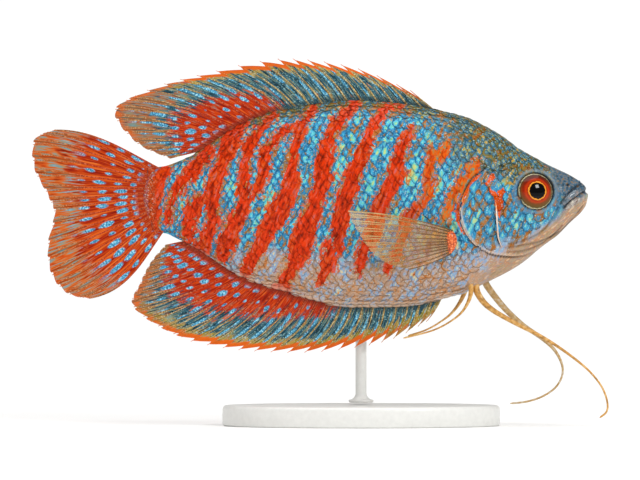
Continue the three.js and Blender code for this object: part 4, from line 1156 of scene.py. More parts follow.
def new_tree(name, inputs):
    """A geometry tree with named inputs: gives the tree, what adds nodes to it, and its inputs."""
    tree = bpy.data.node_groups.new(name, "GeometryNodeTree")
    tree.interface.new_socket("Geometry", in_out="INPUT", socket_type="NodeSocketGeometry")
    for label, kind, value in inputs:
        socket = tree.interface.new_socket(label, in_out="INPUT", socket_type=kind)
        if value is not None:
            socket.default_value = value
    tree.interface.new_socket("Geometry", in_out="OUTPUT", socket_type="NodeSocketGeometry")
    add = partial(add_node, tree)
    return tree, add, add("NodeGroupInput").node.outputs


def finish_tree(add, geometry, material):
    """Every tree ends in real mesh with its material."""
    real = add("GeometryNodeRealizeInstances", {0: geometry})
    painted = add("GeometryNodeSetMaterial", {"Geometry": real, "Material": bpy.data.materials[material]})
    add("NodeGroupOutput", {0: painted})


def scale_tree():
    """Lays one scale on each point, along its lie, lifted a little at the free edge."""
    tree, add, given = new_tree("lay scales", [
        ("Scale shape", "NodeSocketObject", None), ("Length", "NodeSocketFloat", 1.0 * MM),
        ("Width", "NodeSocketFloat", 1.0 * MM), ("Lift", "NodeSocketFloat", 0.1),
        ("Unevenness", "NodeSocketFloat", 0.04), ("Seed", "NodeSocketInt", 1),
    ])
    shape = add("GeometryNodeObjectInfo", {0: given["Scale shape"]}, out="Geometry")
    outward = add("GeometryNodeInputNamedAttribute", {0: "outward"}, data_type="FLOAT_VECTOR")
    lie = add("GeometryNodeInputNamedAttribute", {0: "lie"}, data_type="FLOAT_VECTOR")
    size = add("GeometryNodeInputNamedAttribute", {0: "size"}, data_type="FLOAT")
    stand = add("FunctionNodeAlignRotationToVector", {"Vector": outward}, axis="Z")
    face = add("FunctionNodeAlignRotationToVector", {0: stand, "Vector": lie}, axis="X", pivot_axis="Z")
    low = add("Math", {0: given["Unevenness"], 1: -1.0}, operation="MULTIPLY")
    uneven = add("FunctionNodeRandomValue", {
        2: low, 3: given["Unevenness"], 8: given["Seed"],
    }, data_type="FLOAT", out=1)
    lift = add("Math", {0: uneven, 1: given["Lift"]}, operation="ADD")
    down = add("Math", {0: lift, 1: -1.0}, operation="MULTIPLY")
    tip = add("CombineXYZ", {0: uneven, 1: down})
    turn = add("FunctionNodeEulerToRotation", {0: tip})
    turned = add("FunctionNodeRotateRotation", {0: face, 1: turn}, rotation_space="LOCAL")
    spread = add("Math", {0: uneven, 1: 1.0}, operation="ADD")
    scaled = add("Math", {0: spread, 1: size}, operation="MULTIPLY")
    long = add("Math", {0: scaled, 1: given["Length"]}, operation="MULTIPLY")
    wide = add("Math", {0: scaled, 1: given["Width"]}, operation="MULTIPLY")
    by = add("CombineXYZ", {0: long, 1: wide, 2: long})
    laid = add("GeometryNodeInstanceOnPoints", {
        "Points": given["Geometry"], "Instance": shape, "Rotation": turned, "Scale": by,
    })
    finish_tree(add, laid, "wet scaled fish skin")
    return tree


def tube_tree(name, material):
    """Turns each path into a closed round tube, as thick as its own radius says."""
    tree, add, given = new_tree(name, [
        ("Thickness", "NodeSocketFloat", 1.0), ("Sides", "NodeSocketInt", 8),
    ])
    paths = add("GeometryNodeMeshToCurve", {"Mesh": given["Geometry"]})
    radius = add("GeometryNodeInputNamedAttribute", {0: "radius"}, data_type="FLOAT")
    thick = add("Math", {0: radius, 1: given["Thickness"]}, operation="MULTIPLY")
    ring = add("GeometryNodeCurvePrimitiveCircle", {"Resolution": given["Sides"], "Radius": 1.0})
    tube = add("GeometryNodeCurveToMesh", {
        "Curve": paths, "Profile Curve": ring, "Scale": thick, "Fill Caps": True,
    })
    soft = add("GeometryNodeSetShadeSmooth", {0: tube})
    finish_tree(add, soft, material)
    return tree


def grow(name, seed_object, tree, **values):
    """Runs a geometry tree on an object and keeps its result as a plain mesh piece."""
    modifier = seed_object.modifiers.new("grow", "NODES")
    modifier.node_group = tree
    for item in tree.interface.items_tree:
        key = item.name.replace(" ", "_").lower()
        if item.in_out == "INPUT" and key in values:
            modifier[item.identifier] = values[key]
    graph = bpy.context.evaluated_depsgraph_get()
    grown = seed_object.evaluated_get(graph)
    mesh = bpy.data.meshes.new_from_object(grown, preserve_all_data_layers=True, depsgraph=graph)
    if not mesh.polygons:
        raise RuntimeError(f"{name} came out empty")
    seed_object.modifiers.clear()
    bpy.data.objects.remove(seed_object)
    mesh.name = name
    piece = bpy.data.objects.new(name, mesh)
    bpy.context.scene.collection.objects.link(piece)
    return piece


def draw_tubes(name, kind, material, points, fields, edges=None, sides=8):
    """A piece of round tubes along the edges, or one tube through all points in their order."""
    seeds = new_piece(f"{kind} paths", points, [], fields, edges or chain(len(points)))
    return grow(name, seeds, tube_tree(f"draw {kind}", material), thickness=1.0, sides=sides)


# Scales


def arc_table(x):
    """Arc length from back to belly at each x, with the angles it was measured at."""
    angle = np.linspace(0, np.pi, 241)
    rings = section(x[:, None], angle[None, :])
    steps = np.linalg.norm(np.diff(rings, axis=1), axis=-1)
    return angle, np.concatenate([np.zeros((len(x), 1)), np.cumsum(steps, 1)], 1)


def scale_places(row_pitch, pitch):
    """Where scales root on the left side: x, angle and size, in staggered rows from the head back."""
    grid = np.arange(-25.4, 35.5, 0.1)
    length = arc_table(grid)[1][:, -1]
    share = length / length.max()
    station = np.cumsum(0.1 / (pitch * share ** (0.15 + 0.2 * smoothstep(5, 25, grid))))
    rows = int(length.max() / row_pitch / 2) + 1
    places = []
    for parity in (0, 1):
        x = np.interp(np.arange(1, station[-1]) + 0.5 * parity, station, grid)
        angle, arcs = arc_table(x)
        for i, here in enumerate(x):
            span = arcs[i, -1]
            narrow = (span / length.max()) ** (0.25 + 0.25 * smoothstep(5, 25, here))
            across = np.arange(-rows, rows + 1)
            across = across[across % 2 == parity] * row_pitch * narrow
            across = across[np.abs(across) < span / 2 - 0.5 - 0.3 * smoothstep(-8, -15, here)]
            turn = np.interp(across + span / 2, arcs[i], angle)
            size = np.full(len(turn), narrow)
            places.append(np.stack([np.full(len(turn), here), turn, size], -1))
    return np.concatenate(places)


def scaly(x, z):
    """True where scales grow: not on the eye, snout, jaws and throat, nor across a slit."""
    eye = np.hypot(x - EYE[0], z - EYE[1])
    gill, side, along = from_line(x, z, GILL_SLIT)
    clear_of_slit = gill > np.where(side > 0, 1.1, 0.5)
    above_chin = chin_height(x, z) > 0.5
    cheek, _, cheek_along = from_line(x, z, CHEEK_LINE)
    clear_of_cheek = (cheek > 0.3) | (cheek_along < 0.4)
    clear_of_slit |= along < SLIT_START
    return (eye > 3.08) & clear_of_slit & clear_of_cheek & (above_chin | (x < 21)) & (x + 0.3 * z < 34.2)


def in_front_of_gill(x, z):
    """True on the gill cover and the cheek."""
    _, side, along = from_line(x, z, GILL_SLIT)
    return (side > 0) & (along > SLIT_START) & (x > GILL_REAR)


def patch_map(piece):
    """Each scale is a small patch of the unwrapped skin, at the place of its root."""
    mesh = piece.data
    root = get_attribute(mesh, "unwrapped", 3)[:, :2]
    patch = get_attribute(mesh, "patch", 3)[:, :2]
    set_map(piece, "OFBake", np.clip(root + patch * SCALE_PATCH, 0, 1))


def build_scales(name, side):
    """The scales of one side: thin plates, each over the next one behind it."""
    sizes = bpy.context.scene.gourami_sizes
    pitch, row_pitch = sizes.scale_pitch / MM, sizes.row_pitch / MM
    rng = np.random.default_rng(5 + side)
    found = []
    for share, wanted in ((1.0, False), (COVER_SCALE, True)):
        places = scale_places(share * row_pitch, share * pitch)
        z = section(places[:, 0], places[:, 1])[:, 2]
        kept = places[scaly(places[:, 0], z) & (in_front_of_gill(places[:, 0], z) == wanted)]
        found.append(kept * (1, 1, share))
    x, angle, size = np.concatenate(found).T
    x = x + rng.normal(0, 0.035, len(x))
    angle = angle + rng.normal(0, 0.006, len(x))
    root = skin_point(x, angle)
    step = 0.05
    lie = skin_point(x - step, angle) - root
    down = skin_point(x, angle + step / 5) - root
    outward, lie = unit(np.cross(down, lie)), unit(lie)
    mirror = np.array([1, side, 1])
    unwrapped = np.stack([skin_share(x), angle * side / (2 * np.pi) % 1, 0 * x], -1)
    seeds = new_piece("scale seeds", root * mirror, [], {
        "outward": outward * mirror, "lie": lie * mirror, "size": size, "tone": rng.uniform(0, 1, len(x)),
        "root": root * mirror, "unwrapped": unwrapped,
    })
    shape = scale_shape()
    scales = grow(name, seeds, scale_tree(), scale_shape=shape, length=sizes.scale_length,
                  width=sizes.scale_width, lift=sizes.scale_lift, seed=5 + side)
    bpy.data.objects.remove(shape)
    rooted_at = get_attribute(scales.data, "root", 3)
    paint(scales, SCALE_UNITY * rooted_at + (1 - SCALE_UNITY) * fish_points(scales))
    patch_map(scales)
    return scales


# Fins


def rooted(keys):
    """Fin keys as numbers: a root with no height of its own is set just off the back or the belly."""
    numbers = []
    for x, z, tip_x, tip_z, bow in keys:
        if z is None:
            z = back(x) + FIN_CLEAR if tip_z > 0 else belly(x) - FIN_CLEAR
        numbers.append((x, z, tip_x, tip_z, bow))
    return np.array(numbers, float)


def wave(x, reach, amount, length, phase):
    return amount * reach**2 * np.sin(2 * np.pi * x / length + phase)


def fin_surface(fin, u, v):
    """Points of a fin's middle surface, u from its first ray to its last and v from root to tip."""
    key = spline(rooted(fin["keys"]), u)
    u, v = np.broadcast_arrays(u, v)
    reach = key[..., 2:4] - key[..., 0:2]
    length = np.linalg.norm(reach, axis=-1)
    late = fin.get("late", 0.0)
    push = key[..., 4] * 4 * v * (1 - v) * (1 - late + 1.7 * late * v) / length
    x = key[..., 0] + reach[..., 0] * v + reach[..., 1] * push
    z = key[..., 1] + reach[..., 1] * v - reach[..., 0] * push
    return np.stack([x, fin["sway"](x, z, v), z], -1), length * v, length * (1 - v)


def pectoral_side(side):
    """How far a pectoral fin stands off the flank: it flares back and out from its root."""
    start = float(flank(KNOB[0] - 0.5, KNOB[1])) + FIN_CLEAR + 0.35

    def sway(x, z, v):
        flare = (KNOB[0] - 0.5 - x) * math.tan(PECTORAL_FLARE)
        return side * (start + flare + 0.5 * np.sin(np.pi * np.clip(v, 0, 1)))

    return sway


FINS = {
    "dorsal": {
        "keys": DORSAL_KEYS, "rays": 24, "spines": 16, "notch": (1.7, 0.5), "bury": 0.9,
        "sway": lambda x, z, v: wave(x, v, 0.7, 26.0, 0.4), "skin": "mottled fin membrane", "slot": "fin",
    },
    "anal": {
        "keys": ANAL_KEYS, "rays": 30, "spines": 17, "notch": (1.6, 0.4), "bury": 0.9,
        "sway": lambda x, z, v: wave(x, v, 0.7, 24.0, 2.0), "skin": "mottled fin membrane", "slot": "fin",
    },
    "tail": {
        "keys": TAIL_KEYS, "rays": 16, "spines": 0, "notch": (0.4, 0.4), "bury": 1.2, "late": 0.5,
        "sway": lambda x, z, v: 0.8 * v**2 * np.sin(z / 5 + 0.6),
        "skin": "mottled fin membrane", "slot": "fin",
    },
}
FINS |= {
    f"pectoral_{name}": {
        "keys": PECTORAL_KEYS, "rays": 12, "spines": 0, "notch": (0.4, 0.4), "bury": 0.4, "fineness": 0.75,
        "sway": pectoral_side(side), "skin": "clear fin membrane", "slot": "clear_fin",
    }
    for name, side in SIDES
}


def fin_fields(name, root_x, v, from_root, from_edge):
    """Where a fin is red, olive, gold, orange at its edge, painted with shade at its root and spotted; on
    the pectorals the root field thickens the clear membrane instead.
    """
    zero = np.zeros(np.shape(v))
    if name.startswith("pectoral"):
        return {
            "red": zero, "olive": smoothstep(0.0, 0.5, v), "edge": 0.3 * smoothstep(1.0, 0.0, from_edge),
            "root": smoothstep(8.0, 0.0, from_root), "spotted": zero, "gold": zero, "stretch": zero,
            "fan": zero,
        }
    if name == "dorsal":
        red = smoothstep(-3.5, -8, root_x) * smoothstep(0.66, 0.28, v + 0.02 * np.maximum(0, root_x + 10))
        olive = 0.88 * smoothstep(0.45, 0.75, v) * smoothstep(-9, -13, root_x)
        edge = smoothstep(1.7, 0.5, from_edge)
        gold = 0.6 * smoothstep(3.4, 1.4, from_edge)
        edge = edge * (1 - 0.45 * smoothstep(-6, -11, root_x) - 0.4 * smoothstep(-15, -18, root_x))
        root = 0.4 * smoothstep(0.5, 0.1, from_root)
        fan = zero
    elif name == "anal":
        red = smoothstep(5, 0, root_x) * smoothstep(0.3, -0.25, v - 0.1 - 0.029 * np.maximum(0, 3 - root_x))
        olive = 0.8 * smoothstep(0.55, 0.85, v) * smoothstep(-9, -15, root_x)
        edge = smoothstep(1.9, 0.6, from_edge) * (0.4 + 0.6 * smoothstep(14, 6, root_x))
        edge *= smoothstep(-20, -16, root_x)
        edge *= 1 - 0.5 * smoothstep(-7, -13, root_x)
        gold = 0.85 * smoothstep(3.4, 1.4, from_edge)
        root = 0.4 * smoothstep(0.5, 0.1, from_root)
        fan = zero
    else:
        red = zero + 1.2
        olive = 0.85 * smoothstep(0.4, 0.9, v) + 0.12 * smoothstep(2.2, 0.4, from_root)
        edge = 0.4 * smoothstep(1.2, 0.0, from_edge)
        root = 0.1 * smoothstep(0.6, 0.0, from_root)
        gold, fan = zero, zero + 1
    spotted = smoothstep(0.92, 0.75, v) * smoothstep(0.3, 1.0, from_root)
    stretch = 1 - red
    if name == "tail":
        spotted = smoothstep(11.5, 8.0, from_root) * smoothstep(0.2, 1.0, from_root)
        stretch = 0.3 + 0.4 * smoothstep(5, 10, from_root)
    return {
        "red": red, "olive": olive, "edge": edge, "root": root, "spotted": spotted, "gold": gold,
        "stretch": stretch, "fan": fan,
    }


def spot_level(name, from_root):
    """Where a place lies in a fin's rows of spots: each whole number starts a row."""
    if name == "tail":
        return np.interp(from_root, [0.2, 1.9, 4.7, 7.4, 10.0, 20.0], [0, 1, 2, 3, 4, 8])
    return from_root / OVAL_PITCH


def fin_length(fin, u):
    """The length of a fin from root to tip at u."""
    key = spline(rooted(fin["keys"]), u)
    return np.hypot(key[..., 2] - key[..., 0], key[..., 3] - key[..., 1])


def fin_edge(fin, u):
    """How far the membrane reaches at u: to the tips along the rays, and notched behind each of them."""
    within = u * (fin["rays"] - 1) % 1
    front, rear = fin["notch"]
    deep = (front + (rear - front) * smoothstep(0.1, 0.8, u)) / fin_length(fin, u)
    return 1 - deep * (1 - within) ** 1.1 * smoothstep(0.0, 0.13, within)


def fin_start(fin, u):
    """Where a fin starts at u, a little inside what it grows from."""
    return -fin["bury"] / fin_length(fin, u)


def build_membrane(name):
    """A fin's membrane: one closed sheet, thinner towards its notched edge."""
    fin = FINS[name]
    columns = (fin["rays"] - 1) * COLUMNS_PER_GAP + 1
    u = np.linspace(0, 1, columns)[:, None]
    start = fin_start(fin, u)
    v = start + (fin_edge(fin, u) - start) * np.linspace(0, 1, FIN_ROWS)[None, :]
    u = np.broadcast_to(u, v.shape)
    points, from_root, from_tip = fin_surface(fin, u, v)
    across, up = np.gradient(points, axis=0), np.gradient(points, axis=1)
    normal = unit(np.cross(across, up))
    thin = bpy.context.scene.gourami_sizes.membrane / MM / 2 * (1 - 0.6 * np.clip(v, 0, 1))
    layers = [points + normal * thin[..., None], points - normal * thin[..., None]]
    faces = grid_faces(columns, FIN_ROWS)
    count = columns * FIN_ROWS
    faces += [[i + count for i in reversed(face)] for face in faces]
    grid = np.arange(count).reshape(columns, FIN_ROWS)
    rim = np.concatenate([grid[:, 0], grid[-1, 1:], grid[-2::-1, -1], grid[0, -2:0:-1]])
    for i, j in zip(rim, np.roll(rim, -1)):
        faces.append([j, i, i + count, j + count])
    root_x = spline(rooted(fin["keys"]), u)[..., 0]
    from_edge = from_tip - fin_length(fin, u) * (1 - fin_edge(fin, u))
    fields = fin_fields(name, root_x, v, from_root, from_edge)
    fields["gap"] = np.linalg.norm(across, axis=-1) * COLUMNS_PER_GAP
    both = {key: np.tile(values.ravel(), 2) for key, values in fields.items()}
    points = np.concatenate([layer.reshape(-1, 3) for layer in layers])
    piece = new_piece(f"{name}_membrane", points, faces, both, material=fin["skin"])
    place_on = np.stack([u * (fin["rays"] - 1), spot_level(name, from_root)], -1).reshape(-1, 2)
    set_map(piece, "Rays", np.tile(place_on, (2, 1)))
    return piece


def ray_paths(name):
    """Paths of a fin's rays as u and v: a spine is one path, a soft ray forks twice on its way out."""
    fin = FINS[name]
    gaps = fin["rays"] - 1
    for k in range(fin["rays"]):
        start = float(fin_start(fin, k / gaps))
        tip = 1.0 + (SPINE_TIP / float(fin_length(fin, k / gaps)) if k < fin["spines"] else 0.0)
        stem = tip if k < fin["spines"] else FORK_AT[0] + 0.02
        v = np.linspace(start, stem, RAY_POINTS)
        yield k / gaps + 0 * v, v, 1 - 0.72 * np.clip(v, 0, 1) / tip
        if k < fin["spines"]:
            continue
        for turn in (-1, 1):
            v = np.linspace(FORK_AT[0], FORK_AT[1] + 0.01, RAY_POINTS // 2)
            u = np.clip(k + turn * FORK_SPREAD[0] * smoothstep(FORK_AT[0], FORK_AT[1] + 0.1, v), 0, gaps)
            yield u / gaps, v, 0.6 - 0.25 * (v - FORK_AT[0])
            for twig in (-1, 1):
                v = np.linspace(FORK_AT[1], 0.995, RAY_POINTS // 2)
                stem_u = k + turn * FORK_SPREAD[0] * smoothstep(FORK_AT[0], FORK_AT[1] + 0.1, v)
                u = np.clip(stem_u + twig * FORK_SPREAD[1] * smoothstep(FORK_AT[1], 1.0, v), 0, gaps)
                yield u / gaps, v, 0.48 - 0.35 * (v - FORK_AT[1])


def build_rays(name):
    """A fin's rays as fine tapered tubes on both faces of its membrane."""
    fin = FINS[name]
    thick = bpy.context.scene.gourami_sizes.ray_thickness / 2
    points, edges, radius = [], [], []
    fields = {key: [] for key in ("red", "olive", "edge", "root", "reach")}
    for u, v, share in ray_paths(name):
        path, from_root, from_tip = fin_surface(fin, u, v)
        edges += chain(len(path), sum(len(part) for part in points))
        points.append(path)
        radius.append(thick * share * fin.get("fineness", 1.0))
        root_x = spline(rooted(fin["keys"]), u)[..., 0]
        found = fin_fields(name, root_x, v, from_root, from_tip)
        found["reach"] = from_root * MM
        for key in fields:
            fields[key].append(found[key])
    fields = {key: np.concatenate(values) for key, values in fields.items()}
    fields["radius"] = np.concatenate(radius)
    material = "clear fin ray" if name.startswith("pectoral") else "jointed fin ray"
    return draw_tubes(f"{name}_rays", "rays", material, np.concatenate(points), fields, edges, sides=6)


def with_poles(points):
    """Points in rings, whose first and last ring are drawn together to the two points that come last."""
    return np.concatenate([points[1:-1].reshape(-1, 3), [points[0].mean(0), points[-1].mean(0)]])


def build_knob(name, side):
    """The fleshy root of a pectoral fin: a scaly oval swelling."""
    turns, rings = 40, 18
    turn = np.linspace(0, 2 * np.pi, turns, endpoint=False)[None, :]
    tilt = np.linspace(0, np.pi, rings)[:, None]
    centre_y = float(flank(*KNOB)) + 0.35
    z = KNOB[1] + KNOB_SIZE[1] * np.sin(tilt) * np.sin(turn)
    bend = 0.5 * ((z - KNOB[1]) / KNOB_SIZE[1]) ** 2
    x = KNOB[0] - bend + KNOB_SIZE[0] * np.sin(tilt) * np.cos(turn) * (1 + 0.25 * np.sin(turn))
    y = side * (centre_y + KNOB_SIZE[2] * np.cos(tilt) + 0 * turn)
    points = with_poles(np.stack([x, y, z], -1))
    return new_piece(name, points, closed_faces(rings - 2, turns), material="glittering fin root")


def on_skin(x, z, side):
    """Points of the skin at places in side view."""
    middle = widest_height(x)
    up = np.where(z > middle, (z - middle) / (back(x) - middle), (z - middle) / (middle - belly(x)))
    return skin_point(x, np.arccos(np.clip(up, -1, 1))) * (1, side, 1)


def build_rim(name, line, start, end, thick, side):
    """A thin raised edge of skin along a line of the head, in side view, tapered at both ends."""
    where = np.linspace(start, end, RIM_POINTS)
    x, z = spline(line, where).T
    path = on_skin(x, z, side) + np.array([0, side * RIM_RISE, 0])
    share = (where - start) / (end - start)
    radius = thick * MM * np.sqrt(np.clip(faded(share, 0.3, 0.3), 0.05, 1))
    fields = {"radius": radius, "reach": path[:, 2]}
    return draw_tubes(name, "rim", "gill cover rim", path, fields, sides=10)


def build_lip(name, line, material):
    """A lip: a soft tube along the mouth, from one corner round the snout to the other."""
    x, z, thick = spline(line, np.linspace(0, 1, LIP_POINTS)).T
    y = flank(x, z) - 0.55 * thick
    front = np.stack([x, y * np.sqrt(np.clip((line[-1][0] - x) / 1.2, 0, 1)), z], -1)
    path = np.concatenate([front, (front * (1, -1, 1))[-2::-1]])
    radius = np.concatenate([thick, thick[-2::-1]]) * MM
    return draw_tubes(name, "lip", material, path, {"radius": radius}, sides=20)


# Feelers


def build_feeler(name, path, thickness, material, share_at_tip=0.28):
    """A feeler: one long soft ray that tapers to a fine end."""
    where = np.linspace(0, 1, FEELER_POINTS)
    points = spline(path, where)
    length = np.concatenate([[0], np.cumsum(np.linalg.norm(np.diff(points, axis=0), axis=-1))])
    share = 1 - (1 - share_at_tip) * smoothstep(0, 0.7, where) ** 0.8
    share = share * np.sqrt(np.clip((1 - where) * 40, 0.05, 1))
    fields = {"radius": thickness / 2 * share, "reach": length * MM}
    return draw_tubes(name, "feeler", material, points, fields, sides=14)


def other_side(path, side):
    return [(x, side * y, z) for x, y, z in path]


# Eyes


def eye_frame(side):
    """The eye's middle and its three directions: outwards, forwards and down, from the flank under it."""
    step = 0.05
    x, z = EYE
    slope_x = float(flank(x + step, z) - flank(x - step, z)) / (2 * step)
    slope_z = float(flank(x, z + step) - flank(x, z - step)) / (2 * step)
    out = Vector((-slope_x, 1.0, -slope_z)).normalized()
    out.y *= side
    middle = Vector((x, side * float(flank(x, z)), z)) - out * EYE_DEPTH
    forward = (Vector((1, 0, 0)) - out * out.x).normalized()
    return middle, out, forward, out.cross(forward) * side


def build_eye(name, side):
    """An eye: a flattened ball whose front carries lens, iris and rim in rings."""
    middle, out, forward, down = eye_frame(side)
    turns, rings = 72, 60
    tilt = np.linspace(0, np.pi, rings)[:, None]
    turn = np.linspace(0, 2 * np.pi, turns, endpoint=False)[None, :]
    reach = np.sin(tilt) + 0 * turn
    rise = np.cos(tilt) * EYE_BULGE + 0 * turn
    front = np.cos(tilt) > 0
    dip = 0.06 * hill(reach - 0.95, 0.04) * front
    rise = rise + dip
    offsets = [reach * np.cos(turn) * EYE_RADIUS, reach * np.sin(turn) * EYE_RADIUS, rise]
    points = np.array(middle)
    points = points + sum(o[..., None] * np.array(d) for o, d in zip(offsets, (forward, down, out)))
    forward_by, up_by = reach * np.cos(turn) - PUPIL_SHIFT * (1 - reach), -reach * np.sin(turn)
    shown = np.where(front, np.hypot(forward_by, up_by), 1.0)
    shown = np.concatenate([shown[1:-1].ravel(), [0.0, 1.0]])
    height = np.concatenate([up_by[1:-1].ravel(), [0.0, 0.0]])
    faces, fields = closed_faces(rings - 2, turns), {"reach": shown, "rise": height}
    return new_piece(name, with_poles(points), faces, fields, material="wet fish eye")


# The stand


def belly_height(x, y):
    """Height of the belly's underside at a distance from the middle plane."""
    middle = widest_height(x)
    turn = np.clip(np.abs(y) / half(x), 0, 1) ** (1 / lean(x))
    return middle - (middle - belly(x)) * np.sqrt(1 - turn**2)


def turned(name, profile, sides, middle):
    """A closed piece of the stand: each level of its profile is a ring of that size and height."""
    turn = np.linspace(0, 2 * np.pi, sides, endpoint=False)
    outline = np.stack([np.cos(turn), np.sin(turn)], -1)
    rings = [np.column_stack([middle + outline * size, np.full(len(outline), z)]) for size, z in profile]
    points = np.concatenate([*rings, [[*middle, profile[0][1]], [*middle, profile[-1][1]]]])
    return new_piece(name, points, closed_faces(len(profile), sides), material="satin moulded acrylic")


def build_base():
    """The stand's oval base, its top edge softened."""
    low, high = (np.array(corner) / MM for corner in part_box("stand_base"))
    middle, size = (low + high) / 2, (high - low) / 2
    bottom, top = low[2] - LIFT, high[2] - LIFT
    bends = np.linspace(0, math.pi / 2, 9)
    profile = [(size[:2] - BASE_FOOT_SOFT, bottom), (size[:2], bottom + BASE_FOOT_SOFT)]
    profile += [
        (size[:2] - BASE_SOFT * (1 - math.cos(b)), top - BASE_SOFT * (1 - math.sin(b))) for b in bends
    ]
    profile += [(size[:2] * share, top) for share in (0.9, 0.6, 0.2)]
    return turned("stand_plate", profile, 128, middle[:2])


def build_rod():
    """The stand's rod: a small foot, and a cup that follows the belly it holds."""
    low, high = (np.array(corner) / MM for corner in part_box("stand_rod"))
    middle = (low + high)[:2] / 2
    bottom = low[2] - LIFT
    cup = float(belly_height(*middle)) - CUP_HEIGHT
    foot = bottom + FOOT_HEIGHT
    profile = [(FOOT_RADIUS - ROD_SOFT, bottom), (FOOT_RADIUS, bottom + ROD_SOFT), (FOOT_RADIUS, foot)]
    bends = np.linspace(0, math.pi / 2, 7)
    reach = FOOT_RADIUS - ROD_RADIUS
    profile += [(FOOT_RADIUS - reach * math.sin(b), foot + reach * (1 - math.cos(b))) for b in bends]
    profile += [(ROD_RADIUS, cup - 2.0), (ROD_RADIUS, cup)]
    reach = CUP_RADIUS - ROD_RADIUS
    profile += [(ROD_RADIUS + reach * math.sin(b), cup + 1.5 * (1 - math.cos(b))) for b in bends[1:]]
    profile += [(CUP_RADIUS, cup + 2.0), (CUP_RADIUS, cup + 3.2)]
    profile += [(CUP_RADIUS - ROD_SOFT, cup + 3.5), (0.6, cup + 3.5)]
    rod = turned("stand_stem", profile, 48, middle)
    at = fish_points(rod)
    under = belly_height(at[:, 0], at[:, 1]) + 0.1
    at[:, 2] = np.minimum(at[:, 2], under)
    rod.data.vertices.foreach_set("co", place(at).astype(np.float32).ravel())
    rod.data.update()
    return rod


# The stage


def studio_paper():
    """Pale matt studio paper: rolled smooth, with only a trace of its pulp to be seen."""
    add, shader = new_material("pale studio paper", roughness=0.9)
    where = add("TexCoord", out="Object")
    pulp = add("TexNoise", {"Vector": where, "Scale": 60.0})
    base = add("ValToRGB", {0: pulp}, stops=[(0.3, "#FBFBFA"), (0.7, "#FDFDFC")])
    set_surface(shader, base_color=base)


def build_stage():
    """A wide pale floor, soft lights and the camera at the photograph's angle."""
    scene = bpy.context.scene
    scene.view_settings.view_transform = "Standard"
    turn = np.linspace(0, 2 * np.pi, 96, endpoint=False)
    points = [(r * math.cos(t), r * math.sin(t), z) for r, z in FLOOR for t in turn]
    faces = [face[::-1] for face in grid_faces(len(FLOOR), len(turn), wrap=True)]
    floor = new_object("floor_sweep", points, [], faces + [list(range(len(turn)))])
    studio_paper()
    floor.data.materials.append(bpy.data.materials["pale studio paper"])

    world = bpy.data.worlds.new("studio")
    scene.world = world
    world.use_nodes = True
    world.node_tree.nodes["Background"].inputs[0].default_value = (1, 1, 1, 1)
    world.node_tree.nodes["Background"].inputs[1].default_value = AMBIENT
    aim = Vector(MIDDLE) * MM + Vector((0, 0, LIFT * MM))
    for name, kind, (x, y, z), size, power in LIGHTS:
        lamp = bpy.data.lights.new(name, kind)
        setattr(lamp, "size" if kind == "AREA" else "angle", size)
        lamp.energy = power
        light = bpy.data.objects.new(name, lamp)
        light.location = (x, y, z)
        light.rotation_euler = (aim - light.location).to_track_quat("-Z", "Y").to_euler()
        scene.collection.objects.link(light)

    camera = bpy.data.cameras.new("camera")
    camera.lens, camera.sensor_width = LENS, SENSOR
    camera.clip_start, camera.clip_end = 0.01, 10.0
    eye = bpy.data.objects.new("camera", camera)
    distance = FRAME_WIDTH * LENS / SENSOR
    eye.location = (VIEW_AT[0] * MM, -distance * MM, (VIEW_AT[1] + LIFT) * MM)
    eye.rotation_euler = (math.pi / 2, 0, 0)
    scene.collection.objects.link(eye)
    scene.camera = eye
    return floor


def own(piece, slot, *nodes):
    """Puts a finished piece on the fish in place of its CAD nodes."""
    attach(piece, "root")
    if nodes:
        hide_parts(*nodes)


class GOURAMI_OT_skin(bpy.types.Operator):
    """One skin over the whole body, with the head's folds and the male's markings"""

    bl_idname = "gourami.skin"
    bl_label = "Skin"

    def execute(self, context):
        wet_skin()
        lip_skin("slate lip", "#3A4650", "#566874", "#8A7C78")
        lip_skin("pale lip", "#745E50", "#948C86", "#CCC4B4")
        own(build_skin(), "skin", *FLESH)
        rim_skin()
        for name, side in SIDES:
            own(build_rim(f"gill_rim_{name}", GILL_SLIT, 0.03, 0.9, 0.17, side), "skin")
            own(build_rim(f"cheek_rim_{name}", CHEEK_LINE, 0.25, 1.0, 0.12, side), "skin")
        own(build_lip("upper_lip", UPPER_LIP, "slate lip"), "skin")
        own(build_lip("lower_lip", LOWER_LIP, "pale lip"), "skin")
        return {"FINISHED"}


class GOURAMI_OT_scales(bpy.types.Operator):
    """Overlapping scales over both flanks, the nape, cheeks and gill covers"""

    bl_idname = "gourami.scales"
    bl_label = "Scales"

    def execute(self, context):
        for name, side in SIDES:
            own(build_scales(f"scales_{name}", side), "skin")
        return {"FINISHED"}


class GOURAMI_OT_eyes(bpy.types.Operator):
    """Both eyes, each a flattened ball with lens, iris and rim"""

    bl_idname = "gourami.eyes"
    bl_label = "Eyes"

    def execute(self, context):
        eye_coat()
        for name, side in SIDES:
            own(build_eye(f"eyeball_{name}", side), "eye", f"eye_{name}")
        return {"FINISHED"}


class GOURAMI_OT_fins(bpy.types.Operator):
    """Dorsal, anal and tail fin, and the clear pectoral fins on their fleshy roots"""

    bl_idname = "gourami.fins"
    bl_label = "Fins"

    def execute(self, context):
        fin_membrane("mottled fin membrane", 1.0)
        clear_membrane()
        fin_ray()
        clear_ray()
        root_skin()
        for name in FINS:
            node = f"{name}_fin" if "_" not in name else name.replace("_", "_fin_")
            own(build_membrane(name), FINS[name]["slot"], node)
            own(build_rays(name), FINS[name]["slot"])
        for name, side in SIDES:
            own(build_knob(f"pectoral_root_{name}", side), "fin")
        return {"FINISHED"}


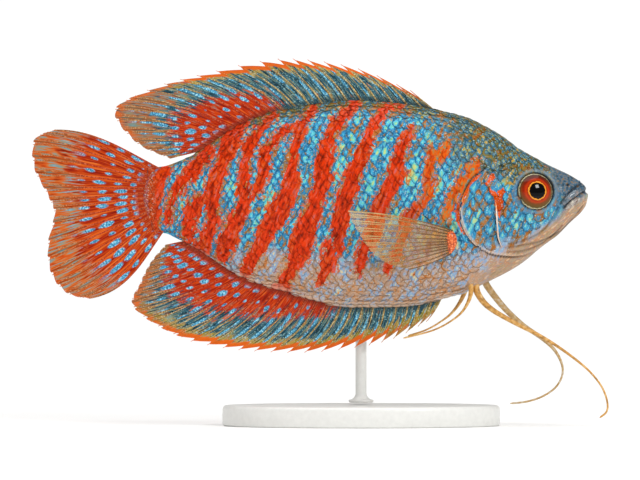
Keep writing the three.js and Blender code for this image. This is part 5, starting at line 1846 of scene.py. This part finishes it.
class GOURAMI_OT_feelers(bpy.types.Operator):
    """The two long feelers and the short ray beside each"""

    bl_idname = "gourami.feelers"
    bl_label = "Feelers"

    def execute(self, context):
        paints = context.scene.gourami_colours
        thick = context.scene.gourami_sizes.feeler_thickness
        feeler_skin("golden feeler skin", tuple(paints.feeler), colour("#E8C484"), colour("#86602C"))
        feeler_skin("pale feeler skin", colour("#BC9860"), colour("#CCC4B0"), colour("#8A6C40"))
        golden, pale = "golden feeler skin", "pale feeler skin"
        for name, side, long, short, skin in (
            ("right", -1, FEELER_RIGHT, SHORT_RIGHT, golden), ("left", 1, FEELER_LEFT, SHORT_LEFT, pale),
        ):
            lengths = [f"feeler_{name}_{n}" for n in (1, 2, 3)]
            own(build_feeler(f"feeler_{name}", other_side(long, side), thick, skin), "feeler", *lengths)
            ray = build_feeler(f"short_feeler_{name}", other_side(short, side), thick * 0.85, golden)
            own(ray, "feeler", f"short_ray_{name}")
        return {"FINISHED"}


class GOURAMI_OT_stand(bpy.types.Operator):
    """The plain display stand: an oval base, and a rod with a cup under the belly"""

    bl_idname = "gourami.stand"
    bl_label = "Stand"

    def execute(self, context):
        moulded_stand()
        own(build_base(), "stand", "stand_base")
        own(build_rod(), "stand", "stand_rod")
        return {"FINISHED"}


class GOURAMI_OT_stage(bpy.types.Operator):
    """Floor, lights and camera"""

    bl_idname = "gourami.stage"
    bl_label = "Stage"

    def execute(self, context):
        build_stage()
        return {"FINISHED"}


STEPS = [
    GOURAMI_OT_skin, GOURAMI_OT_scales, GOURAMI_OT_eyes, GOURAMI_OT_fins, GOURAMI_OT_feelers,
    GOURAMI_OT_stand, GOURAMI_OT_stage,
]


class GOURAMI_PT_panel(bpy.types.Panel):
    """Builds the fish step by step, with its main sizes and colours"""

    bl_label = "Dwarf gourami"
    bl_space_type = "VIEW_3D"
    bl_region_type = "UI"
    bl_category = "Gourami"

    def draw(self, context):
        for step in STEPS:
            self.layout.operator(step.bl_idname)
        for choices in (context.scene.gourami_sizes, context.scene.gourami_colours):
            for name in choices.__annotations__:
                self.layout.prop(choices, name)


CLASSES = [GouramiSizes, GouramiColours, *STEPS, GOURAMI_PT_panel]


def register():
    for part in CLASSES:
        bpy.utils.register_class(part)
    bpy.types.Scene.gourami_sizes = bpy.props.PointerProperty(type=GouramiSizes)
    bpy.types.Scene.gourami_colours = bpy.props.PointerProperty(type=GouramiColours)


def unregister():
    del bpy.types.Scene.gourami_colours
    del bpy.types.Scene.gourami_sizes
    for part in reversed(CLASSES):
        bpy.utils.unregister_class(part)


def main():
    """Builds everything in order."""
    register()
    bpy.ops.gourami.skin()
    bpy.ops.gourami.scales()
    bpy.ops.gourami.eyes()
    bpy.ops.gourami.fins()
    bpy.ops.gourami.feelers()
    bpy.ops.gourami.stand()
    bpy.ops.gourami.stage()


if __name__ == "__main__":
    main()
